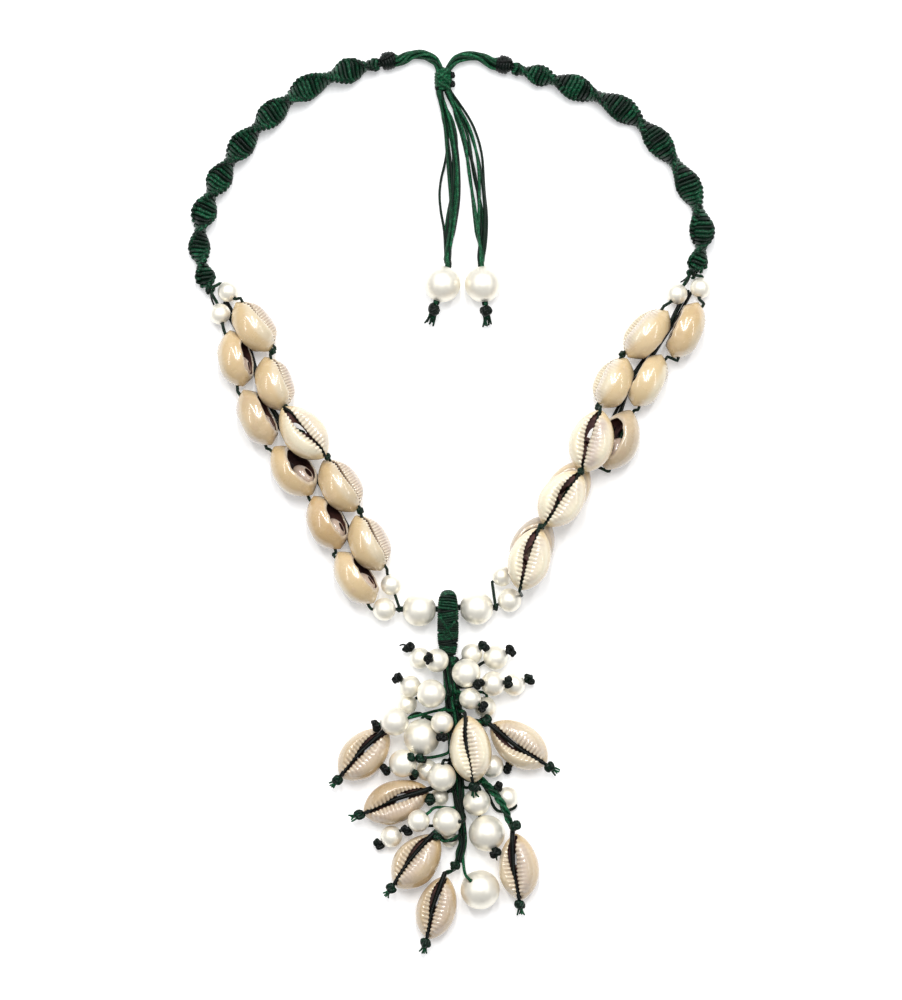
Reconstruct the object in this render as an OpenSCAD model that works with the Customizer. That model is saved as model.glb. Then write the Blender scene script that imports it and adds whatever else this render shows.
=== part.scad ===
// Cowrie shell and pearl necklace, laid flat on a table.
// Two knotted bands run down from the fastening to two strands of cut cowries, sewn back to back.
// A collar of pearls carries a wrapped bail, and a cluster of cowries and pearls hangs below it.
// Millimetres. +Y points to the fastening and +Z up. The origin is the middle of the footprint.

/* [Cowries] */
// Half height of the uncut cowrie
shell_rise = 6.2; // [5.8:0.1:6.3]
// Flat of the toothed face, as a share of the half height
shell_crown = 0.72; // [0.66:0.02:0.78]
// Where the back is sliced off, as a share of the half height
shell_cut = 0.55; // [0.45:0.05:0.6]
// Thickness of the shell's wall
shell_wall = 1.25; // [1:0.05:1.5]
// Teeth on each lip of the opening
teeth = 9; // [6:1:12]
// Width of the opening between the tips of the teeth
slot_w = 1.2; // [1:0.1:1.6]
// Width of the channel at each end of the opening
channel_w = 1.7; // [1.5:0.1:2]

/* [Pearls] */
// Hole through a pearl for one cord
pearl_hole = 1.4; // [1.3:0.1:1.6]
// Hole through a pearl for a bundle of cords
bundle_hole = 2.5; // [2.4:0.1:3]

/* [Cords] */
// Waxed cord
cord_d = 1; // [0.8:0.1:1.1]
// Knot at the end of a cord
knot_d = 2.4; // [1.8:0.1:2.6]
// Length of that knot
knot_l = 2.2; // [1.6:0.1:2.6]
// Knot and frayed tuft past the end of a pendant cowrie
tuft_l = 3.2; // [2.4:0.2:3.6]
// Free space between a cord and what it runs through
clear = 0.2; // [0.1:0.05:0.3]

/* [Neck bands] */
// Width of the knotted band
band_w = 7.2; // [6:0.2:7.4]
// Thickness of the knotted band
band_t = 3.4; // [2.6:0.2:4]

/* [Fastening] */
// Width of a stopper knot
stopper_w = 5.4; // [4.6:0.2:6]
// Length of a stopper knot
stopper_l = 4.8; // [4:0.2:5.4]
// Width of the sliding knot
slide_w = 5.6; // [5:0.2:6]
// Length of the sliding knot
slide_l = 6.6; // [5.6:0.2:7]
// Widest part of a tie bundle
tie_d = 4.6; // [3.6:0.2:5]

/* [Bail] */
// Width of the wrapped bail
bail_w = 6.2; // [5.4:0.2:6.2]
// Outer radius of its loop round the collar
bail_r = 4.8; // [4.2:0.1:5]

/* [Hidden] */
$fn = 48;

// Strand cowries: x, y, height, heading of the blunt end, roll, length, width,
// and 1 where the thread comes in through the cut back
LEFT_INNER = [
    [-56.6, 49.5, 6.5, -55, -80, 17.0, 12.4, 0],
    [-50.8, 33.2, 6.5, -72, -80, 16.2, 12.2, 0],
    [-42.2, 19.2, 10.8, -50, -22, 18.6, 12.2, 1],
    [-31.9, 4.1, 6.6, -58, -72, 17.4, 12.4, 0],
    [-23.7, -12.3, 6.6, -65, -72, 17.4, 12.4, 0]];
LEFT_OUTER = [
    [-61.4, 40.4, 6.4, -77, 104, 16.6, 12.0, 0],
    [-55.4, 23.6, 6.4, -63, 100, 17.8, 12.2, 0],
    [-45.2, 8.4, 6.2, -51, 124, 17.6, 12.2, 0],
    [-35.5, -6.4, 6.3, -63, 112, 17.0, 12.2, 0],
    [-27.3, -22.1, 6.4, -55, 106, 17.8, 12.2, 0]];
RIGHT_INNER = [
    [56.0, 47.4, 6.5, -131, 86, 17.6, 12.4, 0],
    [46.5, 33.4, 6.6, -116, 84, 16.0, 12.4, 0],
    [40.0, 16.8, 11.6, -107, 12, 18.4, 12.8, 0],
    [31.6, 0.4, 11.7, -124, 2, 18.4, 12.6, 0],
    [22.3, -16.8, 12.1, -107, 6, 18.6, 12.0, 0]];
RIGHT_OUTER = [
    [66.8, 48.6, 6.4, -115, -104, 17.4, 12.2, 0],
    [56.0, 34.2, 6.4, -119, -100, 16.8, 12.2, 0],
    [47.7, 17.2, 5.5, -112, -146, 18.4, 12.2, 0],
    [33.4, 3.0, 4.6, -120, 180, 18.2, 12.2, 0],
    [23.2, -13.2, 4.6, -112, 180, 18.2, 12.4, 0]];

// Pendant cowries: x, y, height, heading of the blunt end, pitch, roll, length, width
PENDANT_SHELLS = [
    [5.4, -71.0, 9.8, -84, 0, 6, 19.2, 12.0],
    [-24.9, -72.6, 4.3, -135, 0, 10, 18.8, 12.2],
    [19.2, -69.8, 4.4, -36, 0, 0, 19.4, 12.2],
    [-15.8, -86.2, 3.7, -160, 0, 0, 19.8, 12.2],
    [-9.9, -103.2, 5.4, -129, 0, 24, 18.8, 12.6],
    [-4.2, -116.5, 4.1, -106, 0, 8, 18.6, 11.4],
    [19.2, -104.8, 4.7, -85, 0, 16, 19.0, 11.6]];

// Pearls on the strands' threads: x, y, height, diameter, heading and lift of the hole
NECK_PEARLS = [
    [-63.8, 59.6, 4.6, 6.0, -48, 24],
    [-66.2, 53.2, 4.4, 6.0, -75, 20],
    [64.4, 58.9, 4.6, 6.0, -128, 24],
    [71.2, 60.6, 4.6, 6.0, -100, 20]];
COLLAR_SMALL = [
    [-17.2, -24.2, 5.0, 6.0, -70, 0],
    [-19.2, -31.2, 5.0, 6.6, 0, 0],
    [14.4, -21.8, 5.0, 5.8, -150, 0],
    [16.6, -28.6, 5.0, 6.8, -160, 0]];
COLLAR_LARGE = [
    [-9.2, -31.3, 4.8, 9.6, 0, 0],
    [7.2, -30.8, 4.8, 9.6, 0, 0]];
TIE_PEARLS = [
    [-2.6, 61.7, 5.2, 10.4, -108, 0],
    [9.0, 61.7, 5.2, 10.4, -84, 0]];

// Pendant pearls: x, y, height, diameter, heading and lift of the hole, 1 where a knot ends it
UPPER_PEARLS = [
    [-9.0, -45.2, 3.1, 6.2, 138, 0, 1],
    [-4.2, -45.8, 8.2, 6.8, 164, 60, 1],
    [4.2, -49.4, 8.0, 8.2, -39, 30, 1],
    [5.8, -44.0, 3.0, 6.0, 32, 20, 1],
    [12.6, -45.0, 3.5, 7.0, 23, 15, 1],
    [11.9, -52.4, 7.4, 7.0, 7, 30, 1],
    [17.9, -52.8, 3.2, 6.4, 19, 0, 1],
    [5.3, -56.7, 8.2, 6.2, -32, 15, 1],
    [9.6, -59.2, 3.1, 6.2, -95, -10, 1],
    [-5.8, -55.2, 10.1, 8.2, 175, 5, 0],
    [-11.8, -53.2, 6.3, 6.2, 147, 15, 1],
    [-12.7, -58.3, 2.9, 5.8, -150, 0, 0],
    [-16.3, -63.1, 9.6, 8.2, -167, -8, 1],
    [-2.7, -63.5, 10.2, 6.4, -90, 25, 1]];
LOWER_PEARLS = [
    [-13.9, -75.2, 5.8, 8.0, -161, 0, 1],
    [-6.9, -77.3, 3.1, 6.2, -166, -8, 1],
    [-2.8, -79.0, 9.0, 8.2, -95, -20, 0],
    [11.6, -76.1, 3.3, 6.6, -6, -14, 1],
    [7.2, -86.3, 5.8, 7.8, -100, -20, 0],
    [16.0, -85.1, 3.1, 6.2, 132, 20, 1],
    [-1.3, -91.7, 7.8, 8.2, 180, -30, 0],
    [-9.4, -91.5, 8.8, 6.4, -141, -15, 1],
    [-17.2, -96.2, 3.1, 6.2, -148, -15, 1],
    [-0.5, -97.0, 2.4, 4.8, -60, 0, 0],
    [-3.4, -84.9, 2.6, 5.2, -150, 0, 0]];
LARGE_PEARLS = [
    [-8.5, -67.7, 5.2, 10.4, -92, 20, 1],
    [10.1, -95.2, 5.2, 10.4, -67, 24, 1],
    [8.2, -111.3, 5.6, 11.2, -45, -45, 0]];

// Each pendant pearl's cord from the trunk to its hole, in the tables' order
UPPER_ROUTES = [
    [[-2.8, -47.0, 2.6]],
    [[-1.4, -46.8, 5.2]],
    [[0.4, -47.4, 5.3]],
    [[2.4, -46.6, 2.4]],
    [[2.5, -48.8, 2.2], [6.0, -48.4, 2.2]],
    [[1.9, -53.5, 4.8]],
    [[2.6, -51.5, 2.2], [9.0, -52.6, 2.4]],
    [[1.2, -55.2, 5.3]],
    [[2.9, -56.6, 2.8], [6.4, -55.0, 2.8]],
    [[-0.1, -55.6, 5.3], [-0.4, -55.5, 8.2]],
    [[-2.2, -53.6, 2.8], [-6.0, -54.2, 3.6]],
    [[-2.2, -56.0, 2.6], [-6.4, -56.6, 2.6]],
    [[-1.6, -59.4, 2.9], [-6.0, -60.6, 5.0]],
    [[0.4, -60.2, 5.2]]];
LOWER_ROUTES = [
    [[-1.2, -72.4, 2.6], [-5.6, -73.6, 2.2]],
    [[-0.8, -75.4, 2.8]],
    [[-0.7, -74.2, 5.0]],
    [[3.7, -75.4, 2.8]],
    [[3.9, -82.2, 3.4]],
    [[4.2, -80.0, 2.9], [9.0, -81.4, 2.2], [13.0, -88.8, 1.4]],
    [[2.9, -88.4, 5.0], [3.8, -90.6, 7.2]],
    [[0.7, -88.0, 2.8], [-4.4, -87.8, 5.4]],
    [[1.1, -93.4, 1.8], [-6.0, -93.2, 1.6], [-11.0, -93.6, 1.6]],
    [[0.8, -92.6, 2.6], [-2.4, -93.4, 2.6]],
    [[0.2, -83.4, 2.6]]];
LARGE_ROUTES = [
    [[-1.4, -63.6, 2.6], [-5.0, -62.4, 3.4]],
    [[4.2, -88.2, 2.6], [6.4, -89.6, 2.0]],
    [[3.4, -103.8, 3.4], [3.9, -106.6, 8.4]]];
SHELL_ROUTES = [
    [[2.4, -60.0, 5.4]],
    [[-2.0, -65.4, 1.2], [-9.0, -61.2, 1.2], [-15.0, -64.0, 2.4]],
    [[3.3, -62.2, 2.6]],
    [[0.5, -82.2, 4.4]],
    [[1.2, -96.6, 5.6], [-2.2, -97.2, 6.0]],
    [[0.9, -105.3, 3.0]],
    [[4.3, -77.4, 2.9], [9.6, -81.0, 4.4], [14.6, -87.0, 7.4]]];

// Trunk of the pendant: x, y, height, radius
TRUNK = [
    [-0.4, -45.2, 2.7, 2.2],
    [0.1, -54.3, 2.9, 2.2],
    [0.8, -62.9, 2.9, 2.2],
    [1.3, -71.4, 2.8, 2.1],
    [1.9, -82.9, 2.8, 1.7],
    [2.8, -91.4, 2.8, 1.4],
    [3.4, -98.0, 2.8, 1.1],
    [2.0, -103.2, 2.8, 1.2]];

// Middle line of each neck band: x, y, share of the full width. It makes a half twist a row.
BAND_HEIGHT = 3.8;
LEFT_BAND = [
    [-21.0, 124.6, 0.5],
    [-28.8, 122.9, 1],
    [-41.0, 118.0, 1],
    [-51.2, 110.6, 1],
    [-59.8, 101.6, 1],
    [-66.2, 92.0, 1],
    [-70.6, 82.6, 1],
    [-72.1, 72.4, 0.85],
    [-70.4, 63.8, 0.8],
    [-68.8, 59.8, 0.4]];
RIGHT_BAND = [
    [17.8, 123.4, 0.5],
    [24.4, 121.6, 0.8],
    [34.6, 118.2, 1],
    [48.4, 112.0, 1],
    [58.8, 102.8, 1],
    [67.6, 90.2, 1],
    [71.6, 77.4, 1],
    [70.4, 68.0, 0.8],
    [68.6, 64.6, 0.4]];

// Bundles at the fastening: x, y, height, share of the widest
LEFT_BACK = [
    [-14.9, 125.6, 3.0, 0.8],
    [-11.4, 127.2, 3.0, 0.62],
    [-8.0, 127.3, 3.0, 0.62],
    [-5.2, 126.0, 3.0, 0.6],
    [-4.0, 124.6, 3.0, 0.5]];
RIGHT_BACK = [
    [11.8, 124.8, 3.0, 0.8],
    [8.4, 126.6, 3.0, 0.62],
    [5.0, 127.0, 3.0, 0.62],
    [1.8, 126.2, 3.0, 0.6],
    [0.2, 124.8, 3.0, 0.5]];
LEFT_TIE = [
    [-3.4, 116.6, 3.0, 0.5],
    [-2.2, 112.2, 2.8, 0.66],
    [-0.6, 106.4, 2.4, 0.86],
    [0.2, 100.4, 2.4, 1],
    [0.6, 93.4, 2.4, 1],
    [0.6, 86.4, 2.4, 0.96],
    [0.0, 80.0, 2.4, 0.82],
    [-0.8, 73.6, 3.2, 0.66],
    [-1.2, 68.6, 4.6, 0.5]];
RIGHT_TIE = [
    [-0.9, 116.6, 3.0, 0.5],
    [1.2, 112.2, 2.8, 0.6],
    [4.0, 105.8, 2.4, 0.86],
    [5.8, 98.8, 2.4, 1],
    [6.9, 91.8, 2.4, 1],
    [7.7, 84.8, 2.4, 0.96],
    [8.2, 78.0, 2.4, 0.82],
    [8.4, 72.6, 3.2, 0.66],
    [8.4, 68.6, 4.6, 0.5]];

// Knots of the fastening: x, y, heading of the cord
STOPPERS = [[-18.1, 125.6, 14], [14.9, 124.5, -14]];
SLIDING = [-2.3, 120.3, 90];
STOPPER_WRAPS = 4;
SLIDING_WRAPS = 5;
TIE_END_WRAPS = 3;
TIE_END_W = 3.6;
TIE_END_L = 3.2;

// Where the strands' threads end beside the collar, and the collar's cord on each side of the bail
STRAND_ENDS = [[-14.9, -30.8, 4.8], [-14.9, -31.8, 4.8], [12.8, -31.4, 4.8], [12.6, -30.6, 5.6]];
COLLAR_LEFT = [[-15.2, -31.3, 4.8], [-4.0, -31.3, 4.8], [-1.2, -31.1, 4.8]];
COLLAR_RIGHT = [[12.6, -30.8, 4.8], [2.4, -30.8, 4.8], [-0.8, -31.0, 4.8]];

// Bail: its middle across, the middles of its loop and of its lower end, and the collar's line
BAIL_X = -1.0;
BAIL_LOOP = [-30.4, 4.8];
BAIL_END = [-42.9, 2.4];
BAIL_END_R = 1.9;
BAIL_CORNER = 1.4;
COLLAR_Y = -31.1;

// Steps along the bands, and the sides of every faceted sweep
BAND_STEPS = 8;
BAND_SIDES = 12;
TIE_SIDES = 10;
TRUNK_SIDES = 8;
THREAD_SIDES = 6;
// Widths that follow from the sizes above
shell_slot_share = slot_w / 12.4;
shell_channel_share = channel_w / 12.4;
shell_inner = 1 - shell_wall / shell_rise;
shell_face_r = 1.7;
blunt_end = 0.9;
slim_end = 1.1;
widest_at = (slim_end - blunt_end) / 2;
collar_r = bundle_hole / 2 - clear;
tie_core = bundle_hole - 2 * clear;
thread_depth = 0.28 * shell_rise;
cord_mouth = 0.7;

SHELL_SETS = ["left_inner", "left_outer", "right_inner", "right_outer"];
STRANDS = [LEFT_INNER, LEFT_OUTER, RIGHT_INNER, RIGHT_OUTER];
NECK_NAMES = ["left_inner", "left_outer", "right_inner", "right_outer"];
SIDES = ["left", "right"];
SINGLE = [
    "macrame_left", "macrame_right", "stopper_knot_left", "stopper_knot_right",
    "back_strands_left", "back_strands_right", "sliding_knot", "tie_cord_left", "tie_cord_right",
    "tie_pearl_left", "tie_pearl_right", "tie_end_knot_left", "tie_end_knot_right",
    "shell_thread_left", "shell_thread_right", "bail_wrap", "pendant_cords",
    "pendant_pearls_upper", "pendant_pearls_lower"];

// Directions and places

function place(row) = [row[0], row[1], row[2]];
function unit(v) = v / norm(v);
function aim(heading, lift) = [cos(lift) * cos(heading), cos(lift) * sin(heading), sin(lift)];

// A point given along the shell, across it and up through its toothed face
function shell_point(row, pitch, roll, p) =
    let (heading = row[3])
    let (y1 = p[1] * cos(roll) - p[2] * sin(roll))
    let (z1 = p[1] * sin(roll) + p[2] * cos(roll))
    let (x2 = p[0] * cos(pitch) + z1 * sin(pitch))
    let (z2 = z1 * cos(pitch) - p[0] * sin(pitch))
    place(row) + [x2 * cos(heading) - y1 * sin(heading), x2 * sin(heading) + y1 * cos(heading), z2];

// Smooth curve through a table of rows, steps points to a row
function curve_row(a, b, c, d, t) =
    0.5 * (2 * b + (c - a) * t + (2 * a - 5 * b + 4 * c - d) * t * t
        + (3 * b - a - 3 * c + d) * t * t * t);
function smooth(rows, steps) =
    let (last = len(rows) - 1)
    concat(
        [for (k = [0:last - 1]) for (j = [0:steps - 1])
            curve_row(rows[max(k - 1, 0)], rows[k], rows[k + 1], rows[min(k + 2, last)], j / steps)],
        [rows[last]]);

// Tube swept along points. Each section is half width, half height and turn about the path.
function path_dir(points, k) = unit(points[min(k + 1, len(points) - 1)] - points[max(k - 1, 0)]);
function ring(point, dir, section, sides) =
    let (side = unit(cross([0, 0, 1], dir)))
    let (up = cross(dir, side))
    [for (j = [0:sides - 1])
        let (a = 360 * j / sides)
        let (u = section[0] * cos(a))
        let (v = section[1] * sin(a))
        point + side * (u * cos(section[2]) - v * sin(section[2]))
            + up * (u * sin(section[2]) + v * cos(section[2]))];

module sweep(points, sections, sides) {
    count = len(points);
    rings = [for (k = [0:count - 1]) each ring(points[k], path_dir(points, k), sections[k], sides)];
    walls = [for (k = [0:count - 2]) for (j = [0:sides - 1])
        let (a = k * sides + j)
        let (b = k * sides + (j + 1) % sides)
        each [[a, a + sides, b], [b, a + sides, b + sides]]];
    start = [for (j = [0:sides - 1]) j];
    end = [for (j = [sides - 1:-1:0]) (count - 1) * sides + j];
    polyhedron(points = rings, faces = concat([start], walls, [end]));
}

module cord(points, radii, sides) {
    sweep(points, [for (r = radii) [r, r, 0]], sides);
}

// Cowries

function tooth_at(k) = -0.84 + 1.68 * k / (2 * teeth);
function slot_edge(side) = [for (k = [0:2 * teeth])
    [tooth_at(k), side * shell_slot_share * (k % 2 == 0 ? 1 : 2)]];
function reversed(list) = [for (k = [len(list) - 1:-1:0]) list[k]];

// Unit ball with the toothed face flattened
module shell_ball(r) {
    intersection() {
        sphere(r = r);
        translate([0, 0, shell_crown - (1 - r) - shell_face_r]) sphere(r = shell_face_r);
    }
}

// One end of the hollow shell, drawn out along its length
module shell_end(stretch) {
    scale([stretch, 1, 1]) intersection() {
        difference() {
            shell_ball(1);
            shell_ball(shell_inner);
        }
        translate([0, -2, -2]) cube([4, 4, 4]);
    }
}

module shell_opening() {
    edge = shell_channel_share;
    linear_extrude(height = 2) polygon(concat(
        [[-1.4, edge]], slot_edge(1), [[1.4, edge], [1.4, -edge]],
        reversed(slot_edge(-1)), [[-1.4, -edge]]));
}

// The widest place lies a little towards the blunt end
module cowrie(length, width) {
    scale([length / 2, width / 2, shell_rise]) translate([widest_at, 0, 0]) difference() {
        union() {
            shell_end(blunt_end);
            mirror([1, 0, 0]) shell_end(slim_end);
        }
        shell_opening();
        translate([-2, -2, -2 - shell_cut]) cube([4, 4, 2]);
    }
}

module strand_shell(row) {
    color("wheat") translate(place(row)) rotate([0, 0, row[3]]) rotate([row[4], 0, 0])
        cowrie(row[5], row[6]);
}

module pendant_shell(row) {
    color("bisque") translate(place(row)) rotate([0, 0, row[3]]) rotate([0, row[4], 0])
        rotate([row[5], 0, 0]) cowrie(row[6], row[7]);
}

// Pearls

module pearl(row, hole) {
    color("ivory") translate(place(row)) rotate([0, 0, row[4]]) rotate([0, 90 - row[5], 0])
        difference() {
            sphere(d = row[3]);
            cylinder(h = row[3] + 2, d = hole, center = true);
        }
}

module pearl_group(rows) {
    for (row = rows) pearl(row, pearl_hole);
}

// Knots and bundles

module wrapped_knot(width, length, wraps) {
    coil_r = length / (1.5 * wraps + 0.5);
    rotate_extrude() union() {
        translate([0, -length / 2 + coil_r / 2]) square([width / 2 - coil_r, length - coil_r]);
        for (k = [0:wraps - 1])
            translate([width / 2 - coil_r, -length / 2 + coil_r + k * (length - 2 * coil_r) / (wraps - 1)])
                circle(r = coil_r);
    }
}

module lying_knot(row, width, length, wraps) {
    translate([row[0], row[1], width / 2]) rotate([0, 0, row[2]]) rotate([0, 90, 0])
        wrapped_knot(width, length, wraps);
}

module stopper_knot_left() {
    color("darkslategray") lying_knot(STOPPERS[0], stopper_w, stopper_l, STOPPER_WRAPS);
}

module stopper_knot_right() {
    color("darkslategray") lying_knot(STOPPERS[1], stopper_w, stopper_l, STOPPER_WRAPS);
}

module sliding_knot() {
    color("darkgreen") lying_knot(SLIDING, slide_w, slide_l, SLIDING_WRAPS);
}

module bundle(rows) {
    line = smooth(rows, 2);
    cord([for (row = line) place(row)], [for (row = line) tie_d / 2 * row[3]], TIE_SIDES);
}

module back_strands_left() {
    color("seagreen") bundle(LEFT_BACK);
}

module back_strands_right() {
    color("seagreen") bundle(RIGHT_BACK);
}

// A tie bundle narrows where it runs through its pearl, up to its end knot
module tie_cord(rows, bead) {
    dir = aim(bead[4], bead[5]);
    mouth = bead[3] / 2 + cord_mouth;
    line = smooth(rows, 2);
    points = concat([for (row = line) place(row)], [place(bead) - dir * mouth, place(bead) + dir * mouth]);
    radii = concat([for (row = line) tie_d / 2 * row[3]], [tie_core / 2, tie_core / 2]);
    color("seagreen") cord(points, radii, TIE_SIDES);
}

module tie_end_knot(bead) {
    reach = bead[3] / 2 + cord_mouth + clear + TIE_END_L / 2;
    color("darkslategray") translate(place(bead) + aim(bead[4], bead[5]) * reach)
        rotate([0, 0, bead[4]]) rotate([0, 90, 0]) wrapped_knot(TIE_END_W, TIE_END_L, TIE_END_WRAPS);
}

module tie_cord_left() {
    tie_cord(LEFT_TIE, TIE_PEARLS[0]);
}

module tie_cord_right() {
    tie_cord(RIGHT_TIE, TIE_PEARLS[1]);
}

module tie_pearl_left() {
    pearl(TIE_PEARLS[0], bundle_hole);
}

module tie_pearl_right() {
    pearl(TIE_PEARLS[1], bundle_hole);
}

module tie_end_knot_left() {
    tie_end_knot(TIE_PEARLS[0]);
}

module tie_end_knot_right() {
    tie_end_knot(TIE_PEARLS[1]);
}

// Flat knotted band that turns half over from each row of its table to the next
module neck_band(rows) {
    line = smooth(rows, BAND_STEPS);
    points = [for (row = line) [row[0], row[1], BAND_HEIGHT]];
    sections = [for (k = [0:len(line) - 1])
        let (turn = 180 * (k / BAND_STEPS - 1))
        [band_w / 2 * line[k][2], band_t / 2 * sqrt(line[k][2]), turn]];
    color("darkgreen") sweep(points, sections, BAND_SIDES);
}

module macrame_left() {
    neck_band(LEFT_BAND);
}

module macrame_right() {
    neck_band(RIGHT_BAND);
}

// Threads of the strands

function pearl_pass(row) =
    let (dir = aim(row[4], row[5]) * (row[3] / 2 + cord_mouth / 2))
    [place(row) - dir, place(row) + dir];
function shell_pass(row) =
    let (half = row[5] / 2)
    let (under = -shell_rise * shell_cut - 2.6 * cord_d)
    let (far = row[7] == 1 ? half * 0.5 : half + 0.3)
    let (deep = row[7] == 1 ? under : thread_depth)
    [for (p = [[-far, 0, deep], [0, 0, 0.4], [far, 0, deep]]) shell_point(row, 0, row[4], p)];
function thread_line(neck, shells, collar, end) = concat(
    pearl_pass(neck), [for (row = shells) each shell_pass(row)], pearl_pass(collar), [end]);

module thread(points) {
    cord(points, [for (p = points) cord_d / 2], THREAD_SIDES);
}

module collar_cord(points) {
    cord(points, [for (p = points) collar_r], TRUNK_SIDES);
}

module shell_thread_left() {
    color("darkgreen") {
        thread(thread_line(NECK_PEARLS[0], LEFT_INNER, COLLAR_SMALL[0], STRAND_ENDS[0]));
        thread(thread_line(NECK_PEARLS[1], LEFT_OUTER, COLLAR_SMALL[1], STRAND_ENDS[1]));
        collar_cord(COLLAR_LEFT);
    }
}

module shell_thread_right() {
    color("darkgreen") {
        thread(thread_line(NECK_PEARLS[2], RIGHT_INNER, COLLAR_SMALL[3], STRAND_ENDS[2]));
        thread(thread_line(NECK_PEARLS[3], RIGHT_OUTER, COLLAR_SMALL[2], STRAND_ENDS[3]));
        collar_cord(COLLAR_RIGHT);
    }
}

// Bail: a wrapped loop over the collar that tapers to the pendant's trunk

module bail_side() {
    run = BAIL_LOOP - BAIL_END;
    lean = atan2(-run[1], -run[0]);
    open = acos((bail_r - BAIL_END_R) / norm(run));
    for (side = [[BAIL_LOOP, bail_r], [BAIL_END, BAIL_END_R]]) translate(side[0]) circle(r = side[1]);
    polygon([for (edge = [[1, lean - open], [0, lean - open], [0, lean + open], [1, lean + open]])
        (edge[0] == 1 ? BAIL_LOOP : BAIL_END)
            + (edge[0] == 1 ? bail_r : BAIL_END_R) * [cos(edge[1]), sin(edge[1])]]);
}

module bail_front() {
    half = bail_w / 2;
    top = BAIL_LOOP[0] + bail_r;
    low = BAIL_END[0] - BAIL_END_R;
    translate([0, top - half]) circle(r = half);
    translate([-half, low + BAIL_CORNER]) square([bail_w, top - half - low - BAIL_CORNER]);
    translate([BAIL_CORNER - half, low - 1]) square([bail_w - 2 * BAIL_CORNER, BAIL_CORNER + 2]);
    for (side = [-1, 1]) translate([side * (half - BAIL_CORNER), low + BAIL_CORNER]) circle(r = BAIL_CORNER);
}

module bail_wrap() {
    color("darkgreen") translate([BAIL_X, 0, 0]) difference() {
        intersection() {
            rotate([90, 0, 90]) translate([0, 0, -bail_w]) linear_extrude(height = 2 * bail_w) bail_side();
            linear_extrude(height = 3 * bail_r) bail_front();
        }
        translate([0, COLLAR_Y, BAIL_LOOP[1]]) rotate([0, 90, 0])
            cylinder(h = 2 * bail_w, d = bundle_hole + 3 * clear, center = true);
    }
}

// Pendant

// A cord that ends in a knot of the given length, or in none, swelling out of the same tube
module knotted(points, dir, length) {
    last = points[len(points) - 1];
    r = cord_d / 2;
    swell = [[0.12, 0.8], [0.35, 1], [0.65, 1], [0.88, 0.8], [1, 0.4]];
    tail = length > 0 ? swell : [];
    cord(
        concat(points, [for (s = tail) last + dir * (length * s[0])]),
        concat([for (p = points) r], [for (s = tail) knot_d / 2 * s[1]]),
        THREAD_SIDES);
}

module pearl_cord(route, row) {
    dir = aim(row[4], row[5]);
    reach = row[3] / 2;
    inside = row[6] == 1 ? reach + clear : reach - cord_mouth / 2;
    knotted(
        concat(route, [place(row) - dir * (reach + cord_mouth), place(row) + dir * inside]),
        dir, knot_l * row[6]);
}

// Every cord leaves the middle of the trunk level with its first way point
function trunk_at(y, column) = lookup(y, [for (row = TRUNK) [row[1], row[column]]]);
function from_trunk(route) =
    let (y = max(route[0][1], TRUNK[len(TRUNK) - 1][1]))
    concat([[trunk_at(y, 0), y, trunk_at(y, 2)]], route);

// The cord lies in the opening, with a knot past the blunt end
module shell_cord(route, row) {
    half = row[6] / 2;
    low = 0.6;
    line = [for (p = [
        [-half - 0.4, thread_depth], [-half * 0.4, low], [half * 0.4, low], [half + 0.3, thread_depth]])
        shell_point(row, row[4], row[5], [p[0], 0, p[1]])];
    knotted(concat(route, line), aim(row[3], 0), tuft_l);
}

module pendant_cords() {
    color("darkgreen") {
        cord([for (row = TRUNK) place(row)], [for (row = TRUNK) row[3]], TRUNK_SIDES);
        for (k = [0:len(UPPER_PEARLS) - 1]) pearl_cord(from_trunk(UPPER_ROUTES[k]), UPPER_PEARLS[k]);
        for (k = [0:len(LOWER_PEARLS) - 1]) pearl_cord(from_trunk(LOWER_ROUTES[k]), LOWER_PEARLS[k]);
        for (k = [0:len(LARGE_PEARLS) - 1]) pearl_cord(from_trunk(LARGE_ROUTES[k]), LARGE_PEARLS[k]);
        for (k = [0:len(PENDANT_SHELLS) - 1]) shell_cord(from_trunk(SHELL_ROUTES[k]), PENDANT_SHELLS[k]);
    }
}

module pendant_pearls_upper() {
    pearl_group(UPPER_PEARLS);
}

module pendant_pearls_lower() {
    pearl_group(LOWER_PEARLS);
}

macrame_left();
macrame_right();
stopper_knot_left();
stopper_knot_right();
back_strands_left();
back_strands_right();
sliding_knot();
tie_cord_left();
tie_cord_right();
tie_pearl_left();
tie_pearl_right();
tie_end_knot_left();
tie_end_knot_right();
shell_thread_left();
shell_thread_right();
bail_wrap();
pendant_cords();
pendant_pearls_upper();
pendant_pearls_lower();
for (s = [0:3]) for (k = [1:5])
    strand_shell(STRANDS[s][k - 1]);
for (k = [0:3])
    pearl(NECK_PEARLS[k], pearl_hole);
for (k = [0:3])
    pearl(COLLAR_SMALL[k], pearl_hole);
for (k = [0:1])
    pearl(COLLAR_LARGE[k], bundle_hole);
for (k = [1:7])
    pendant_shell(PENDANT_SHELLS[k - 1]);
for (k = [1:3])
    pearl(LARGE_PEARLS[k - 1], pearl_hole);
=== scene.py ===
"""Cowrie shell and pearl necklace, laid flat on a pale table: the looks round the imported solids.

Tables and lengths are in millimetres, as in the part's source; Form.build turns them into metres.
"""

import math
import random

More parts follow.
